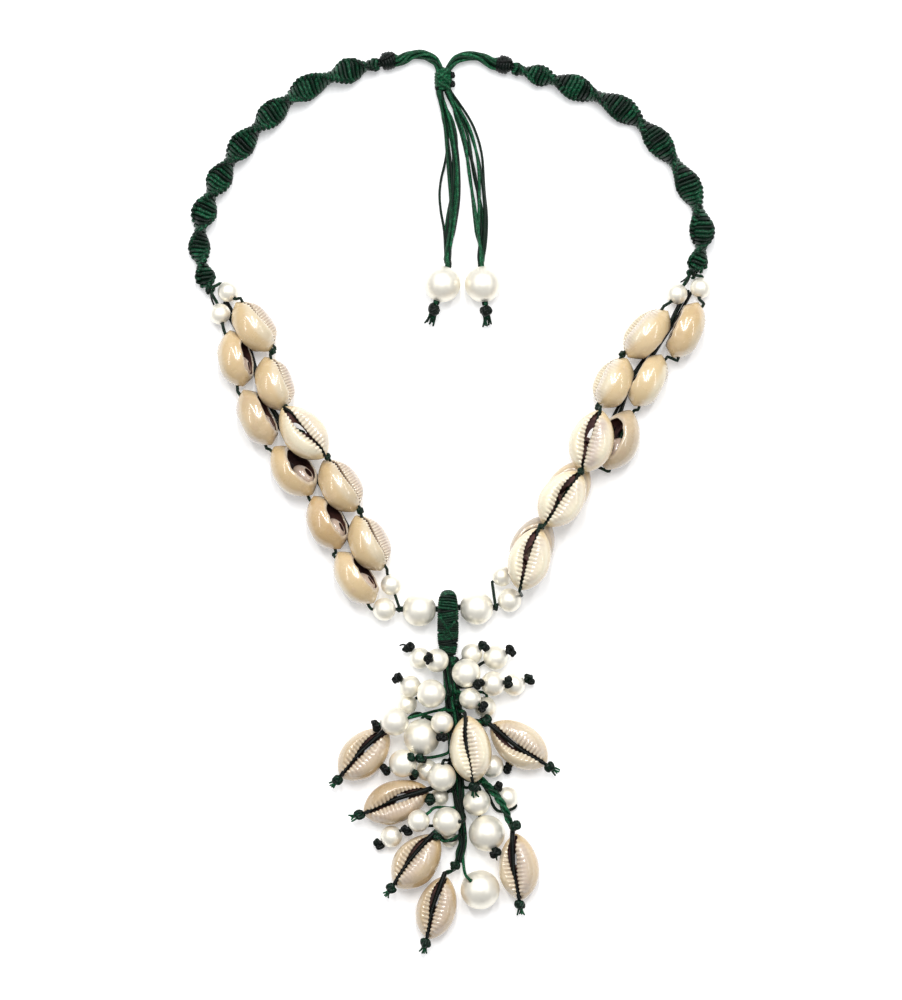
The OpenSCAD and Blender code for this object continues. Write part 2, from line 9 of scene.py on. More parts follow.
import bpy
import numpy as np
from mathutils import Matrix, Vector


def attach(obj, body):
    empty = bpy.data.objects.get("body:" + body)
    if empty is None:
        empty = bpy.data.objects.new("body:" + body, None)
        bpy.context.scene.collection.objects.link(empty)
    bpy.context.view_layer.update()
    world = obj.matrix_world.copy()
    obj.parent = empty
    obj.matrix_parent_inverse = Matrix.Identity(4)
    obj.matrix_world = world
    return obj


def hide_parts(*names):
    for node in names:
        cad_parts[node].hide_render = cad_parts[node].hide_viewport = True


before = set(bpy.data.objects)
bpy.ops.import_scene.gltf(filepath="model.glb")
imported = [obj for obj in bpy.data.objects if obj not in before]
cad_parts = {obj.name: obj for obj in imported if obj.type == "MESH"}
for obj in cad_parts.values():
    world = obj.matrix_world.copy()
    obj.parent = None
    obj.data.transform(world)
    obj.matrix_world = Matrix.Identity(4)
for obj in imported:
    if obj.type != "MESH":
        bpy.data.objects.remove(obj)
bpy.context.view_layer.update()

MM = 0.001
CORD_R = 0.46                   # radius of a plain cord
ON_TABLE = 0.02                 # the lowest that any point of a piece may lie

# ---------------------------------------------------------------- sizes from the part's source

SHELL_RISE, SHELL_WALL = 6.2, 0.75
BAND_W, BAND_T, BAND_HEIGHT = 7.2, 3.4, 3.8
STOPPER_W, STOPPER_L, SLIDE_W, SLIDE_L = 5.4, 4.8, 5.6, 6.6
TIE_D, TIE_END_W, TIE_END_L = 4.6, 3.6, 3.2
MOUTH = 0.7                     # cord standing out of a pearl before it turns

# Cowries of the strands: x, y, height, heading of the blunt end, roll, length, width, thread under, tan, grey
LEFT_INNER = [
    [-56.6, 49.5, 6.5, -55, -80, 17.0, 12.4, 0, 0.50, 0.55],
    [-50.8, 33.2, 6.5, -72, -80, 16.2, 12.2, 0, 0.50, 0.65],
    [-42.2, 19.2, 10.8, -50, -22, 18.6, 12.2, 1, 0.22, 0.10],
    [-31.9, 4.1, 6.6, -58, -72, 17.4, 12.4, 0, 0.60, 0.55],
    [-23.7, -12.3, 6.6, -65, -72, 17.4, 12.4, 0, 0.50, 0.60]]
LEFT_OUTER = [
    [-61.4, 40.4, 6.4, -77, 104, 16.6, 12.0, 0, 0.55, 0.10],
    [-55.4, 23.6, 6.4, -63, 100, 17.8, 12.2, 0, 0.55, 0.75],
    [-45.2, 8.4, 6.2, -51, 124, 17.6, 12.2, 0, 0.55, 0.60],
    [-35.5, -6.4, 6.3, -63, 112, 17.0, 12.2, 0, 0.80, 0.20],
    [-27.3, -22.1, 6.4, -55, 106, 17.8, 12.2, 0, 0.45, 0.15]]
RIGHT_INNER = [
    [56.0, 47.4, 6.5, -131, 86, 17.6, 12.4, 0, 0.40, 0.25],
    [46.5, 33.4, 6.6, -116, 84, 16.0, 12.4, 0, 0.35, 0.15],
    [40.0, 16.8, 11.6, -107, 12, 18.4, 12.8, 0, 0.20, 0.60],
    [31.6, 0.4, 11.7, -124, 2, 18.4, 12.6, 0, 0.12, 0.10],
    [22.3, -16.8, 12.1, -107, 6, 18.6, 12.0, 0, 0.15, 0.15]]
RIGHT_OUTER = [
    [66.8, 48.6, 6.4, -115, -104, 17.4, 12.2, 0, 0.60, 0.35],
    [56.0, 34.2, 6.4, -119, -100, 16.8, 12.2, 0, 0.35, 0.15],
    [47.7, 17.2, 5.5, -112, -146, 18.4, 12.2, 0, 0.45, 0.80],
    [33.4, 3.0, 4.6, -120, 180, 18.2, 12.2, 0, 0.50, 0.60],
    [23.2, -13.2, 4.6, -112, 180, 18.2, 12.4, 0, 0.40, 0.90]]

# Cowries of the pendant: x, y, height, heading of the blunt end, pitch, roll, length, width, tan, grey
PENDANT_SHELLS = [
    [5.4, -71.0, 9.8, -84, 0, 6, 19.2, 12.0, 0.15, 0.10],
    [-24.9, -72.6, 4.3, -135, 0, 10, 18.8, 12.2, 0.75, 0.20],
    [19.2, -69.8, 4.4, -36, 0, 0, 19.4, 12.2, 0.55, 0.25],
    [-15.8, -86.2, 3.7, -160, 0, 0, 19.8, 12.2, 0.85, 0.25],
    [-9.9, -103.2, 5.4, -129, 0, 24, 18.8, 12.6, 0.75, 0.30],
    [-4.2, -116.5, 4.1, -106, 0, 8, 18.6, 11.4, 0.80, 0.30],
    [19.2, -104.8, 4.7, -85, 0, 16, 19.0, 11.6, 0.65, 0.45]]

# Pearls on the strands' threads: x, y, height, diameter, heading and lift of the hole
NECK_PEARLS = [
    [-63.8, 59.6, 4.6, 6.0, -48, 24],
    [-66.2, 53.2, 4.4, 6.0, -75, 20],
    [64.4, 58.9, 4.6, 6.0, -128, 24],
    [71.2, 60.6, 4.6, 6.0, -100, 20]]
COLLAR_SMALL = [
    [-17.2, -24.2, 5.0, 6.0, -70, 0],
    [-19.2, -31.2, 5.0, 6.6, 0, 0],
    [14.4, -21.8, 5.0, 5.8, -150, 0],
    [16.6, -28.6, 5.0, 6.8, -160, 0]]
TIE_PEARLS = [
    [-2.6, 61.7, 5.2, 10.4, -108, 0],
    [9.0, 61.7, 5.2, 10.4, -84, 0]]

# Pearls of the pendant: x, y, height, diameter, heading and lift of the hole, 1 where a knot ends it
UPPER_PEARLS = [
    [-9.0, -45.2, 3.1, 6.2, 138, 0, 1],
    [-4.2, -45.8, 8.2, 6.8, 164, 60, 1],
    [4.2, -49.4, 8.0, 8.2, -39, 30, 1],
    [5.8, -44.0, 3.0, 6.0, 32, 20, 1],
    [12.6, -45.0, 3.5, 7.0, 23, 15, 1],
    [11.9, -52.4, 7.4, 7.0, 7, 30, 1],
    [17.9, -52.8, 3.2, 6.4, 19, 0, 1],
    [5.3, -56.7, 8.2, 6.2, -32, 15, 1],
    [9.6, -59.2, 3.1, 6.2, -95, -10, 1],
    [-5.8, -55.2, 10.1, 8.2, 175, 5, 0],
    [-11.8, -53.2, 6.3, 6.2, 147, 15, 1],
    [-12.7, -58.3, 2.9, 5.8, -150, 0, 0],
    [-16.3, -63.1, 9.6, 8.2, -167, -8, 1],
    [-2.7, -63.5, 10.2, 6.4, -90, 25, 1]]
LOWER_PEARLS = [
    [-13.9, -75.2, 5.8, 8.0, -161, 0, 1],
    [-6.9, -77.3, 3.1, 6.2, -166, -8, 1],
    [-2.8, -79.0, 9.0, 8.2, -95, -20, 0],
    [11.6, -76.1, 3.3, 6.6, -6, -14, 1],
    [7.2, -86.3, 5.8, 7.8, -100, -20, 0],
    [16.0, -85.1, 3.1, 6.2, 132, 20, 1],
    [-1.3, -91.7, 7.8, 8.2, 180, -30, 0],
    [-9.4, -91.5, 8.8, 6.4, -141, -15, 1],
    [-17.2, -96.2, 3.1, 6.2, -148, -15, 1],
    [-0.5, -97.0, 2.4, 4.8, -60, 0, 0],
    [-3.4, -84.9, 2.6, 5.2, -150, 0, 0]]
LARGE_PEARLS = [
    [-8.5, -67.7, 5.2, 10.4, -92, 20, 1],
    [10.1, -95.2, 5.2, 10.4, -67, 24, 1],
    [8.2, -111.3, 5.6, 11.2, -45, -45, 0]]

# Way points of each pendant cord, in the tables' order
UPPER_ROUTES = [
    [[-2.8, -47.0, 2.6]],
    [[-1.4, -46.8, 5.2]],
    [[0.4, -47.4, 5.3]],
    [[2.4, -46.6, 2.4]],
    [[2.5, -48.8, 2.2], [6.0, -48.4, 2.2]],
    [[1.9, -53.5, 4.8]],
    [[2.6, -51.5, 2.2], [9.0, -52.6, 2.4]],
    [[1.2, -55.2, 5.3]],
    [[2.9, -56.6, 2.8], [6.4, -55.0, 2.8]],
    [[-0.1, -55.6, 5.3], [-0.4, -55.5, 8.2]],
    [[-2.2, -53.6, 2.8], [-6.0, -54.2, 3.6]],
    [[-2.2, -56.0, 2.6], [-6.4, -56.6, 2.6]],
    [[-1.6, -59.4, 2.9], [-6.0, -60.6, 5.0]],
    [[0.4, -60.2, 5.2]]]
LOWER_ROUTES = [
    [[-1.2, -72.4, 2.6], [-5.6, -73.6, 2.2]],
    [[-0.8, -75.4, 2.8]],
    [[-0.7, -74.2, 5.0]],
    [[3.7, -75.4, 2.8]],
    [[3.9, -82.2, 3.4]],
    [[4.2, -80.0, 2.9], [9.0, -81.4, 2.2], [13.0, -88.8, 1.4]],
    [[2.9, -88.4, 5.0], [3.8, -90.6, 7.2]],
    [[0.7, -88.0, 2.8], [-4.4, -87.8, 5.4]],
    [[1.1, -93.4, 1.8], [-6.0, -93.2, 1.6], [-11.0, -93.6, 1.6]],
    [[0.8, -92.6, 2.6], [-2.4, -93.4, 2.6]],
    [[0.2, -83.4, 2.6]]]
LARGE_ROUTES = [
    [[-1.4, -63.6, 2.6], [-5.0, -62.4, 3.4]],
    [[4.2, -88.2, 2.6], [6.4, -89.6, 2.0]],
    [[3.4, -103.8, 3.4], [3.9, -106.6, 8.4]]]
SHELL_ROUTES = [
    [[2.4, -60.0, 5.4]],
    [[-2.0, -65.4, 1.2], [-9.0, -61.2, 1.2], [-15.0, -64.0, 2.4]],
    [[3.3, -62.2, 2.6]],
    [[0.5, -82.2, 4.4]],
    [[1.2, -96.6, 5.6], [-2.2, -97.2, 6.0]],
    [[0.9, -105.3, 3.0]],
    [[4.3, -77.4, 2.9], [9.6, -81.0, 4.4], [14.6, -87.0, 7.4]]]

# Trunk of the pendant: x, y, height, radius
TRUNK = [
    [-0.4, -45.2, 2.7, 2.2],
    [0.1, -54.3, 2.9, 2.2],
    [0.8, -62.9, 2.9, 2.2],
    [1.3, -71.4, 2.8, 2.1],
    [1.9, -82.9, 2.8, 1.7],
    [2.8, -91.4, 2.8, 1.4],
    [3.4, -98.0, 2.8, 1.1],
    [2.0, -103.2, 2.8, 1.2]]

# Neck bands: x, y, share of the full width. Each makes a half twist a row.
LEFT_BAND = [
    [-21.0, 124.6, 0.5], [-28.8, 122.9, 1], [-41.0, 118.0, 1], [-51.2, 110.6, 1], [-59.8, 101.6, 1],
    [-66.2, 92.0, 1], [-70.6, 82.6, 1], [-72.1, 72.4, 0.85], [-70.4, 63.8, 0.8], [-68.8, 59.8, 0.4]]
RIGHT_BAND = [
    [17.8, 123.4, 0.5], [24.4, 121.6, 0.8], [34.6, 118.2, 1], [48.4, 112.0, 1], [58.8, 102.8, 1],
    [67.6, 90.2, 1], [71.6, 77.4, 1], [70.4, 68.0, 0.8], [68.6, 64.6, 0.4]]

# Bundles at the fastening: x, y, height, share of the widest
LEFT_BACK = [
    [-14.9, 125.6, 3.0, 0.8], [-11.4, 127.2, 3.0, 0.62], [-8.0, 127.3, 3.0, 0.62],
    [-5.2, 126.0, 3.0, 0.6], [-4.0, 124.6, 3.0, 0.5]]
RIGHT_BACK = [
    [11.8, 124.8, 3.0, 0.8], [8.4, 126.6, 3.0, 0.62], [5.0, 127.0, 3.0, 0.62],
    [1.8, 126.2, 3.0, 0.6], [0.2, 124.8, 3.0, 0.5]]
LEFT_TIE = [
    [-3.4, 116.6, 3.0, 0.5], [-2.2, 112.2, 2.8, 0.66], [-0.6, 106.4, 2.4, 0.86], [0.2, 100.4, 2.4, 1],
    [0.6, 93.4, 2.4, 1], [0.6, 86.4, 2.4, 0.96], [0.0, 80.0, 2.4, 0.82], [-0.8, 73.6, 3.2, 0.66],
    [-1.2, 68.6, 4.6, 0.5]]
RIGHT_TIE = [
    [-0.9, 116.6, 3.0, 0.5], [1.2, 112.2, 2.8, 0.6], [4.0, 105.8, 2.4, 0.86], [5.8, 98.8, 2.4, 1],
    [6.9, 91.8, 2.4, 1], [7.7, 84.8, 2.4, 0.96], [8.2, 78.0, 2.4, 0.82], [8.4, 72.6, 3.2, 0.66],
    [8.4, 68.6, 4.6, 0.5]]

# Stopper knots and sliding knot: x, y, heading. Thread ends and collar cord: x, y, height
STOPPERS = [[-18.1, 125.6, 14], [14.9, 124.5, -14]]
SLIDING = [-2.3, 120.3, 90]
STRAND_ENDS = [[-14.9, -30.8, 4.8], [-14.9, -31.8, 4.8], [12.8, -31.4, 4.8], [12.6, -30.6, 5.6]]
COLLAR_LEFT = [[-15.2, -31.3, 4.8], [-4.0, -31.3, 4.8], [-1.2, -31.1, 4.8]]
COLLAR_RIGHT = [[12.6, -30.8, 4.8], [2.4, -30.8, 4.8], [-0.8, -31.0, 4.8]]
BAIL_X = -1.0

# ---------------------------------------------------------------- camera

PICTURE_TALL = 285.7                      # millimetres of table that the picture's height shows
CAMERA_HEIGHT = 2400
MIDDLE_OF_PICTURE = (-0.14, 0.0)
PEARL_LEVEL = 5                           # height over the table at which that scale holds
SENSOR = 36

camera_data = bpy.data.cameras.new("photo_camera")
camera_data.sensor_width = SENSOR
camera_data.lens = SENSOR * (CAMERA_HEIGHT - PEARL_LEVEL) / PICTURE_TALL
camera_data.clip_start, camera_data.clip_end = 0.05, 20
camera = bpy.data.objects.new("photo_camera", camera_data)
camera.location = (MIDDLE_OF_PICTURE[0] * MM, MIDDLE_OF_PICTURE[1] * MM, CAMERA_HEIGHT * MM)
bpy.context.scene.collection.objects.link(camera)
bpy.context.scene.camera = camera

# ---------------------------------------------------------------- shaping


def unit(v):
    v = np.asarray(v, float)
    return v / np.linalg.norm(v)


def aim(heading, lift=0):
    """Direction of a heading in the table's plane, raised by lift, in degrees."""
    h, u = math.radians(heading), math.radians(lift)
    return np.array([math.cos(u) * math.cos(h), math.cos(u) * math.sin(h), math.sin(u)])


def place(row):
    return np.array(row[:3], float)


def smooth(rows, steps):
    """Smooth curve through the rows of a table, steps points to a row."""
    rows = np.asarray(rows, float)
    last = len(rows) - 1
    out = []
    for k in range(last):
        a, b, c, d = rows[max(k - 1, 0)], rows[k], rows[k + 1], rows[min(k + 2, last)]
        for j in range(steps):
            t = j / steps
            out.append(0.5 * (2 * b + (c - a) * t + (2 * a - 5 * b + 4 * c - d) * t ** 2
                              + (3 * b - a - 3 * c + d) * t ** 3))
    out.append(rows[last])
    return np.array(out)


def run_length(points):
    """Length along a path up to each of its points."""
    steps = np.linalg.norm(np.diff(points, axis=0), axis=1)
    return np.concatenate([[0], np.cumsum(steps)])


def evenly(points, count):
    """The same path with its points at even distances."""
    points = np.asarray(points, float)
    s = run_length(points)
    at = np.linspace(0, s[-1], count)
    return np.stack([np.interp(at, s, points[:, k]) for k in range(points.shape[1])], axis=1)


def ease(x):
    x = np.clip(x, 0, 1)
    return x * x * (3 - 2 * x)


class Form:
    """Points, faces, the lay of the strands and masks, which grow into one mesh."""

    def __init__(self, *masks):
        self.points, self.quads, self.tris, self.quad_lay, self.tri_lay = [], [], [], [], []
        self.masks = {m: [] for m in masks}
        self.count = 0

    def add(self, points, quads, quad_lay, tris=(), tri_lay=(), **masks):
        points = np.asarray(points, float)
        self.points.append(points)
        self.quads.append(np.asarray(quads, int).reshape(-1, 4) + self.count)
        self.tris.append(np.asarray(tris, int).reshape(-1, 3) + self.count)
        self.quad_lay.append(np.asarray(quad_lay, float).reshape(-1, 2))
        self.tri_lay.append(np.asarray(tri_lay, float).reshape(-1, 2))
        for name, values in self.masks.items():
            values.append(np.broadcast_to(np.asarray(masks.get(name, 0.0), float), len(points)))
        self.count += len(points)

    def build(self, name, material, slot, *stands_for):
        """Makes the mesh, rides it on the root and lets it stand for its CAD nodes."""
        points = np.concatenate(self.points)
        points[:, 2] = np.maximum(points[:, 2], ON_TABLE)
        points *= MM
        quads, tris = np.concatenate(self.quads), np.concatenate(self.tris)
        corners = np.concatenate([quads.ravel(), tris.ravel()])
        starts = np.concatenate([np.arange(len(quads)) * 4, 4 * len(quads) + np.arange(len(tris)) * 3])
        mesh = bpy.data.meshes.new(name)
        mesh.vertices.add(len(points))
        mesh.vertices.foreach_set("co", points.astype(np.float32).ravel())
        mesh.loops.add(len(corners))
        mesh.loops.foreach_set("vertex_index", corners.astype(np.int32))
        mesh.polygons.add(len(starts))
        mesh.polygons.foreach_set("loop_start", starts.astype(np.int32))
        mesh.update(calc_edges=True)
        mesh.polygons.foreach_set("use_smooth", np.ones(len(starts), bool))
        lay = np.concatenate(self.quad_lay + self.tri_lay)
        mesh.uv_layers.new(name="lay").data.foreach_set("uv", lay.astype(np.float32).ravel())
        for mask, values in self.masks.items():
            kept = mesh.attributes.new(mask, "FLOAT", "POINT")
            kept.data.foreach_set("value", np.concatenate(values).astype(np.float32))
        mesh.materials.append(material)
        piece = bpy.data.objects.new(name, mesh)
        bpy.context.scene.collection.objects.link(piece)
        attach(piece, "root")
        if stands_for:
            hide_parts(*stands_for)
        return piece


def at_distance(distance, s, columns):
    """Values of a line's columns at a distance along it."""
    return np.array([np.interp(distance, s, column) for column in columns.T])


def cross_frame(points, closed=False, facing=None):
    """Two directions across a path at each of its points."""
    way = np.roll(points, -1, 0) - np.roll(points, 1, 0) if closed else np.gradient(points, axis=0)
    way = way / np.maximum(np.linalg.norm(way, axis=1, keepdims=True), 1e-9)
    if facing is not None:
        side = np.cross(way, facing)
        side /= np.linalg.norm(side, axis=1, keepdims=True)
    else:
        start = np.cross(way[0], [0, 0, 1])
        side = np.empty_like(points)
        side[0] = unit(start if np.linalg.norm(start) > 0.1 else np.cross(way[0], [1, 0, 0]))
        for k in range(1, len(points)):
            side[k] = unit(side[k - 1] - way[k] * np.dot(side[k - 1], way[k]))
    return way, side, np.cross(side, way)


def around(middle, side, up, wide, high, angle):
    """Points round a middle, wide to the side and high upward."""
    return middle + side * (wide * np.cos(angle))[..., None] + up * (high * np.sin(angle))[..., None]


def softened(values, reach):
    """Running mean over as many values to each side."""
    window = np.ones(2 * reach + 1) / (2 * reach + 1)
    return np.convolve(np.pad(values, reach, mode="edge"), window, mode="valid")


def tube(form, points, radius, sides=8, closed=False, facing=None, shade=0.5):
    """Adds a round cord along points, with rounded ends where it is open."""
    points = np.asarray(points, float)
    count = len(points)
    radius = np.broadcast_to(np.asarray(radius, float), count).copy()
    way, side, up = cross_frame(points, closed, facing)
    if not closed:
        ends = [(0, -1), (count - 1, 1)]
        tips = [points[k] + way[k] * sign * radius[k] * 0.6 for k, sign in ends]
        points = np.concatenate([[tips[0]], points, [tips[1]]])
        radius = np.concatenate([[radius[0] * 0.62], radius, [radius[-1] * 0.62]])
        side = np.concatenate([side[:1], side, side[-1:]])
        up = np.concatenate([up[:1], up, up[-1:]])
        count += 2
    turn = 2 * math.pi * np.arange(sides) / sides
    rings = (points[:, None, :] + radius[:, None, None]
             * (side[:, None, :] * np.cos(turn)[None, :, None] + up[:, None, :] * np.sin(turn)[None, :, None]))
    s = run_length(np.concatenate([points, points[:1]]) if closed else points)
    rows = np.arange(count if closed else count - 1)
    a = rows[:, None] * sides + np.arange(sides)[None, :]
    b = rows[:, None] * sides + (np.arange(sides)[None, :] + 1) % sides
    c = ((rows + 1) % count)[:, None] * sides + (np.arange(sides)[None, :] + 1) % sides
    d = ((rows + 1) % count)[:, None] * sides + np.arange(sides)[None, :]
    quads = np.stack([a, d, c, b], axis=-1).reshape(-1, 4)
    u0 = np.broadcast_to(np.arange(sides) / sides, a.shape)
    v0 = np.broadcast_to(s[rows][:, None], a.shape)
    v1 = np.broadcast_to(s[rows + 1][:, None], a.shape)
    step = 1 / sides
    lay = np.stack([np.stack([u0, v0], -1), np.stack([u0, v1], -1),
                    np.stack([u0 + step, v1], -1), np.stack([u0 + step, v0], -1)], axis=2)
    verts = rings.reshape(-1, 3)
    tris, tri_lay = [], []
    if not closed:
        first, last = len(verts), len(verts) + 1
        verts = np.concatenate([verts, points[:1] - way[:1] * radius[0] * 0.5,
                                points[-1:] + way[-1:] * radius[-1] * 0.5])
        for j in range(sides):
            k = (j + 1) % sides
            tris += [[first, j, k], [last, (count - 1) * sides + k, (count - 1) * sides + j]]
            tri_lay += [[(j + 0.5) * step, 0], [j * step, 0.1], [(j + 1) * step, 0.1]]
            tri_lay += [[(j + 0.5) * step, s[-1]], [(j + 1) * step, s[-1] - 0.1], [j * step, s[-1] - 0.1]]
    form.add(verts, quads, lay.reshape(-1, 2), tris, tri_lay, shade=shade)


def core(form, rings, ends, shade, turned_over=False):
    """Adds the solid heart under rows of wraps: rings of points in a line, shut at both ends."""
    rows, sides = rings.shape[:2]
    first, last, base = rows * sides, rows * sides + 1, (rows - 1) * sides
    quads, lay = [], []
    for k in range(rows - 1):
        for j in range(sides):
            i = (j + 1) % sides
            quads.append([k * sides + j, k * sides + i, (k + 1) * sides + i, (k + 1) * sides + j])
            lay.append([[j / sides, k], [(j + 1) / sides, k], [(j + 1) / sides, k + 1], [j / sides, k + 1]])
    tris = [t for j in range(sides)
            for t in ([first, (j + 1) % sides, j], [last, base + j, base + (j + 1) % sides])]
    if turned_over:
        quads, lay, tris = ([face[:1] + face[:0:-1] for face in faces] for faces in (quads, lay, tris))
    lay = [spot for face in lay for spot in face]
    form.add(np.concatenate([rings.reshape(-1, 3), ends]), quads, lay, tris, [[0, 0]] * (3 * len(tris)),
             shade=shade)


def turned(points, heading=0, pitch=0, roll=0, origin=(0, 0, 0)):
    """Points of a piece turned by roll, pitch and heading, and moved to its place."""
    h, p, r = (math.radians(v) for v in (heading, pitch, roll))
    about_x = np.array([[1, 0, 0], [0, math.cos(r), -math.sin(r)], [0, math.sin(r), math.cos(r)]])
    about_y = np.array([[math.cos(p), 0, math.sin(p)], [0, 1, 0], [-math.sin(p), 0, math.cos(p)]])
    about_z = np.array([[math.cos(h), -math.sin(h), 0], [math.sin(h), math.cos(h), 0], [0, 0, 1]])
    return np.asarray(points, float) @ (about_z @ about_y @ about_x).T + np.asarray(origin, float)


# ---------------------------------------------------------------- node helpers


def node_group(name, inputs, outputs):
    """An empty shader node group with named sockets, and its two end nodes."""
    group = bpy.data.node_groups.new(name, "ShaderNodeTree")
    for socket, kind, value in inputs:
        made = group.interface.new_socket(name=socket, in_out="INPUT", socket_type=kind)
        made.default_value = value
    for socket, kind in outputs:
        group.interface.new_socket(name=socket, in_out="OUTPUT", socket_type=kind)
    return group, group.nodes.new("NodeGroupInput"), group.nodes.new("NodeGroupOutput")


def add_node(tree, kind, links=(), **values):
    """A node with its settings and its inputs, each a number, a colour or another node's output."""
    node = tree.nodes.new(kind)
    for key, value in values.items():
        setattr(node, key, value)
    for socket, value in dict(links).items():
        if isinstance(value, bpy.types.NodeSocket):
            tree.links.new(value, node.inputs[socket])
        else:
            node.inputs[socket].default_value = value
    return node


def math_node(tree, operation, a, b=0.0, clamp=False):
    return add_node(tree, "ShaderNodeMath", {0: a, 1: b}, operation=operation, use_clamp=clamp).outputs[0]


def mix_colour(tree, share, a, b, blend="MIX"):
    links = {0: share, 6: a, 7: b}
    return add_node(tree, "ShaderNodeMix", links, data_type="RGBA", blend_type=blend).outputs[2]


def remap(tree, value, low, high, to_low=0.0, to_high=1.0):
    links = {"Value": value, "From Min": low, "From Max": high, "To Min": to_low, "To Max": to_high}
    return add_node(tree, "ShaderNodeMapRange", links, interpolation_type="SMOOTHSTEP").outputs[0]


def mask_of(tree, name):
    return add_node(tree, "ShaderNodeAttribute", attribute_name=name).outputs["Fac"]


def noise(tree, place_from, scale, detail=3.0, rough=0.55):
    links = {"Vector": place_from, "Scale": scale, "Detail": detail, "Roughness": rough}
    return add_node(tree, "ShaderNodeTexNoise", links).outputs["Fac"]


def new_material(name, **plain):
    """A material with one Principled shader, whose constant sockets are set on it."""
    material = bpy.data.materials.new(name)
    material.use_nodes = True
    tree = material.node_tree
    tree.nodes.clear()
    shader = tree.nodes.new("ShaderNodeBsdfPrincipled")
    out = tree.nodes.new("ShaderNodeOutputMaterial")
    tree.links.new(shader.outputs[0], out.inputs[0])
    for socket, value in plain.items():
        shader.inputs[socket.replace("_", " ")].default_value = value
    return material, tree, shader


def bump(tree, shader, height, strength, distance):
    links = {"Height": height, "Strength": strength, "Distance": distance}
    node = add_node(tree, "ShaderNodeBump", links)
    tree.links.new(node.outputs[0], shader.inputs["Normal"])


def colour(r, g, b):
    return (r, g, b, 1.0)


# ---------------------------------------------------------------- finishes


def cord_lay_group():
    """Waxed cord: two plies that turn along the strand, painted highlights in specks on the ply crests, painted
    shade between the plies, and a tone for each strand.
    """
    group, source, out = node_group(
        "Waxed cord lay",
        [("Deep", "NodeSocketColor", colour(0.002, 0.012, 0.007)),
         ("Body", "NodeSocketColor", colour(0.005, 0.05, 0.025)),
         ("Bright", "NodeSocketColor", colour(0.015, 0.12, 0.06)),
         ("Plies per mm", "NodeSocketFloat", 0.9)],
        [("Color", "NodeSocketColor"), ("Height", "NodeSocketFloat"), ("Gloss", "NodeSocketFloat")])
    lay = add_node(group, "ShaderNodeUVMap", uv_map="lay")
    split = add_node(group, "ShaderNodeSeparateXYZ", {0: lay.outputs[0]})
    along = math_node(group, "MULTIPLY", split.outputs[1], source.outputs["Plies per mm"])
    phase = math_node(group, "ADD", along, math_node(group, "MULTIPLY", split.outputs[0], 2.0))
    ply = math_node(group, "SINE", math_node(group, "MULTIPLY", phase, 2 * math.pi))
    ply = math_node(group, "ABSOLUTE", ply)
    here = add_node(group, "ShaderNodeTexCoord").outputs["Object"]
    fleck = noise(group, here, 1600.0, 2.0)
    cloud = noise(group, here, 260.0, 2.0)
    shade = mask_of(group, "shade")
    drift = math_node(group, "MULTIPLY", math_node(group, "SUBTRACT", cloud, 0.5), 0.35)
    level = math_node(group, "ADD", shade, drift)
    body = mix_colour(group, remap(group, level, 0.1, 0.95), source.outputs["Deep"], source.outputs["Body"])
    # Painted highlight: specks along the crests of the plies, stronger on the lighter strands, mixed toward the
    # highlight colour
    painted_highlight = math_node(group, "MULTIPLY", remap(group, fleck, 0.42, 0.7), remap(group, level, 0.25, 0.9))
    painted_highlight = math_node(group, "MULTIPLY", painted_highlight, ply)
    body = mix_colour(group, painted_highlight, body, source.outputs["Bright"])
    # Painted shade: the grooves between the plies are darkened
    ply_groove_shade = remap(group, ply, 0.0, 0.55, 0.3, 1.0)
    shaded = mix_colour(group, 1.0, body, ply_groove_shade, "MULTIPLY")
    height = math_node(group, "ADD", math_node(group, "MULTIPLY", ply, 0.7),
                       math_node(group, "MULTIPLY", fleck, 0.5))
    group.links.new(shaded, out.inputs["Color"])
    group.links.new(height, out.inputs["Height"])
    group.links.new(remap(group, fleck, 0.3, 0.7, 0.46, 0.28), out.inputs["Gloss"])
    return group


def mottle_group():
    """Soft cloudy mask over the surface."""
    group, source, out = node_group(
        "Mottle",
        [("Scale", "NodeSocketFloat", 100.0), ("Low", "NodeSocketFloat", 0.4), ("High", "NodeSocketFloat", 0.6)],
        [("Mask", "NodeSocketFloat")])
    here = add_node(group, "ShaderNodeTexCoord").outputs["Object"]
    cloud = noise(group, here, source.outputs["Scale"], 3.0)
    mask = remap(group, cloud, source.outputs["Low"], source.outputs["High"])
    group.links.new(mask, out.inputs["Mask"])
    return group


cord_lay, mottle = cord_lay_group(), mottle_group()


def mottled(tree, scale, low, high):
    links = {"Scale": scale, "Low": low, "High": high}
    return add_node(tree, "ShaderNodeGroup", links, node_tree=mottle).outputs["Mask"]


def cord_material(name, deep, body, highlight_colour):
    material, tree, shader = new_material(name, IOR=1.45, Specular_IOR_Level=0.22)
    lay = add_node(tree, "ShaderNodeGroup", {"Deep": deep, "Body": body, "Bright": highlight_colour}, node_tree=cord_lay)
    tree.links.new(lay.outputs["Color"], shader.inputs["Base Color"])
    tree.links.new(lay.outputs["Gloss"], shader.inputs["Roughness"])
    bump(tree, shader, lay.outputs["Height"], 0.7, 0.00012)
    return material


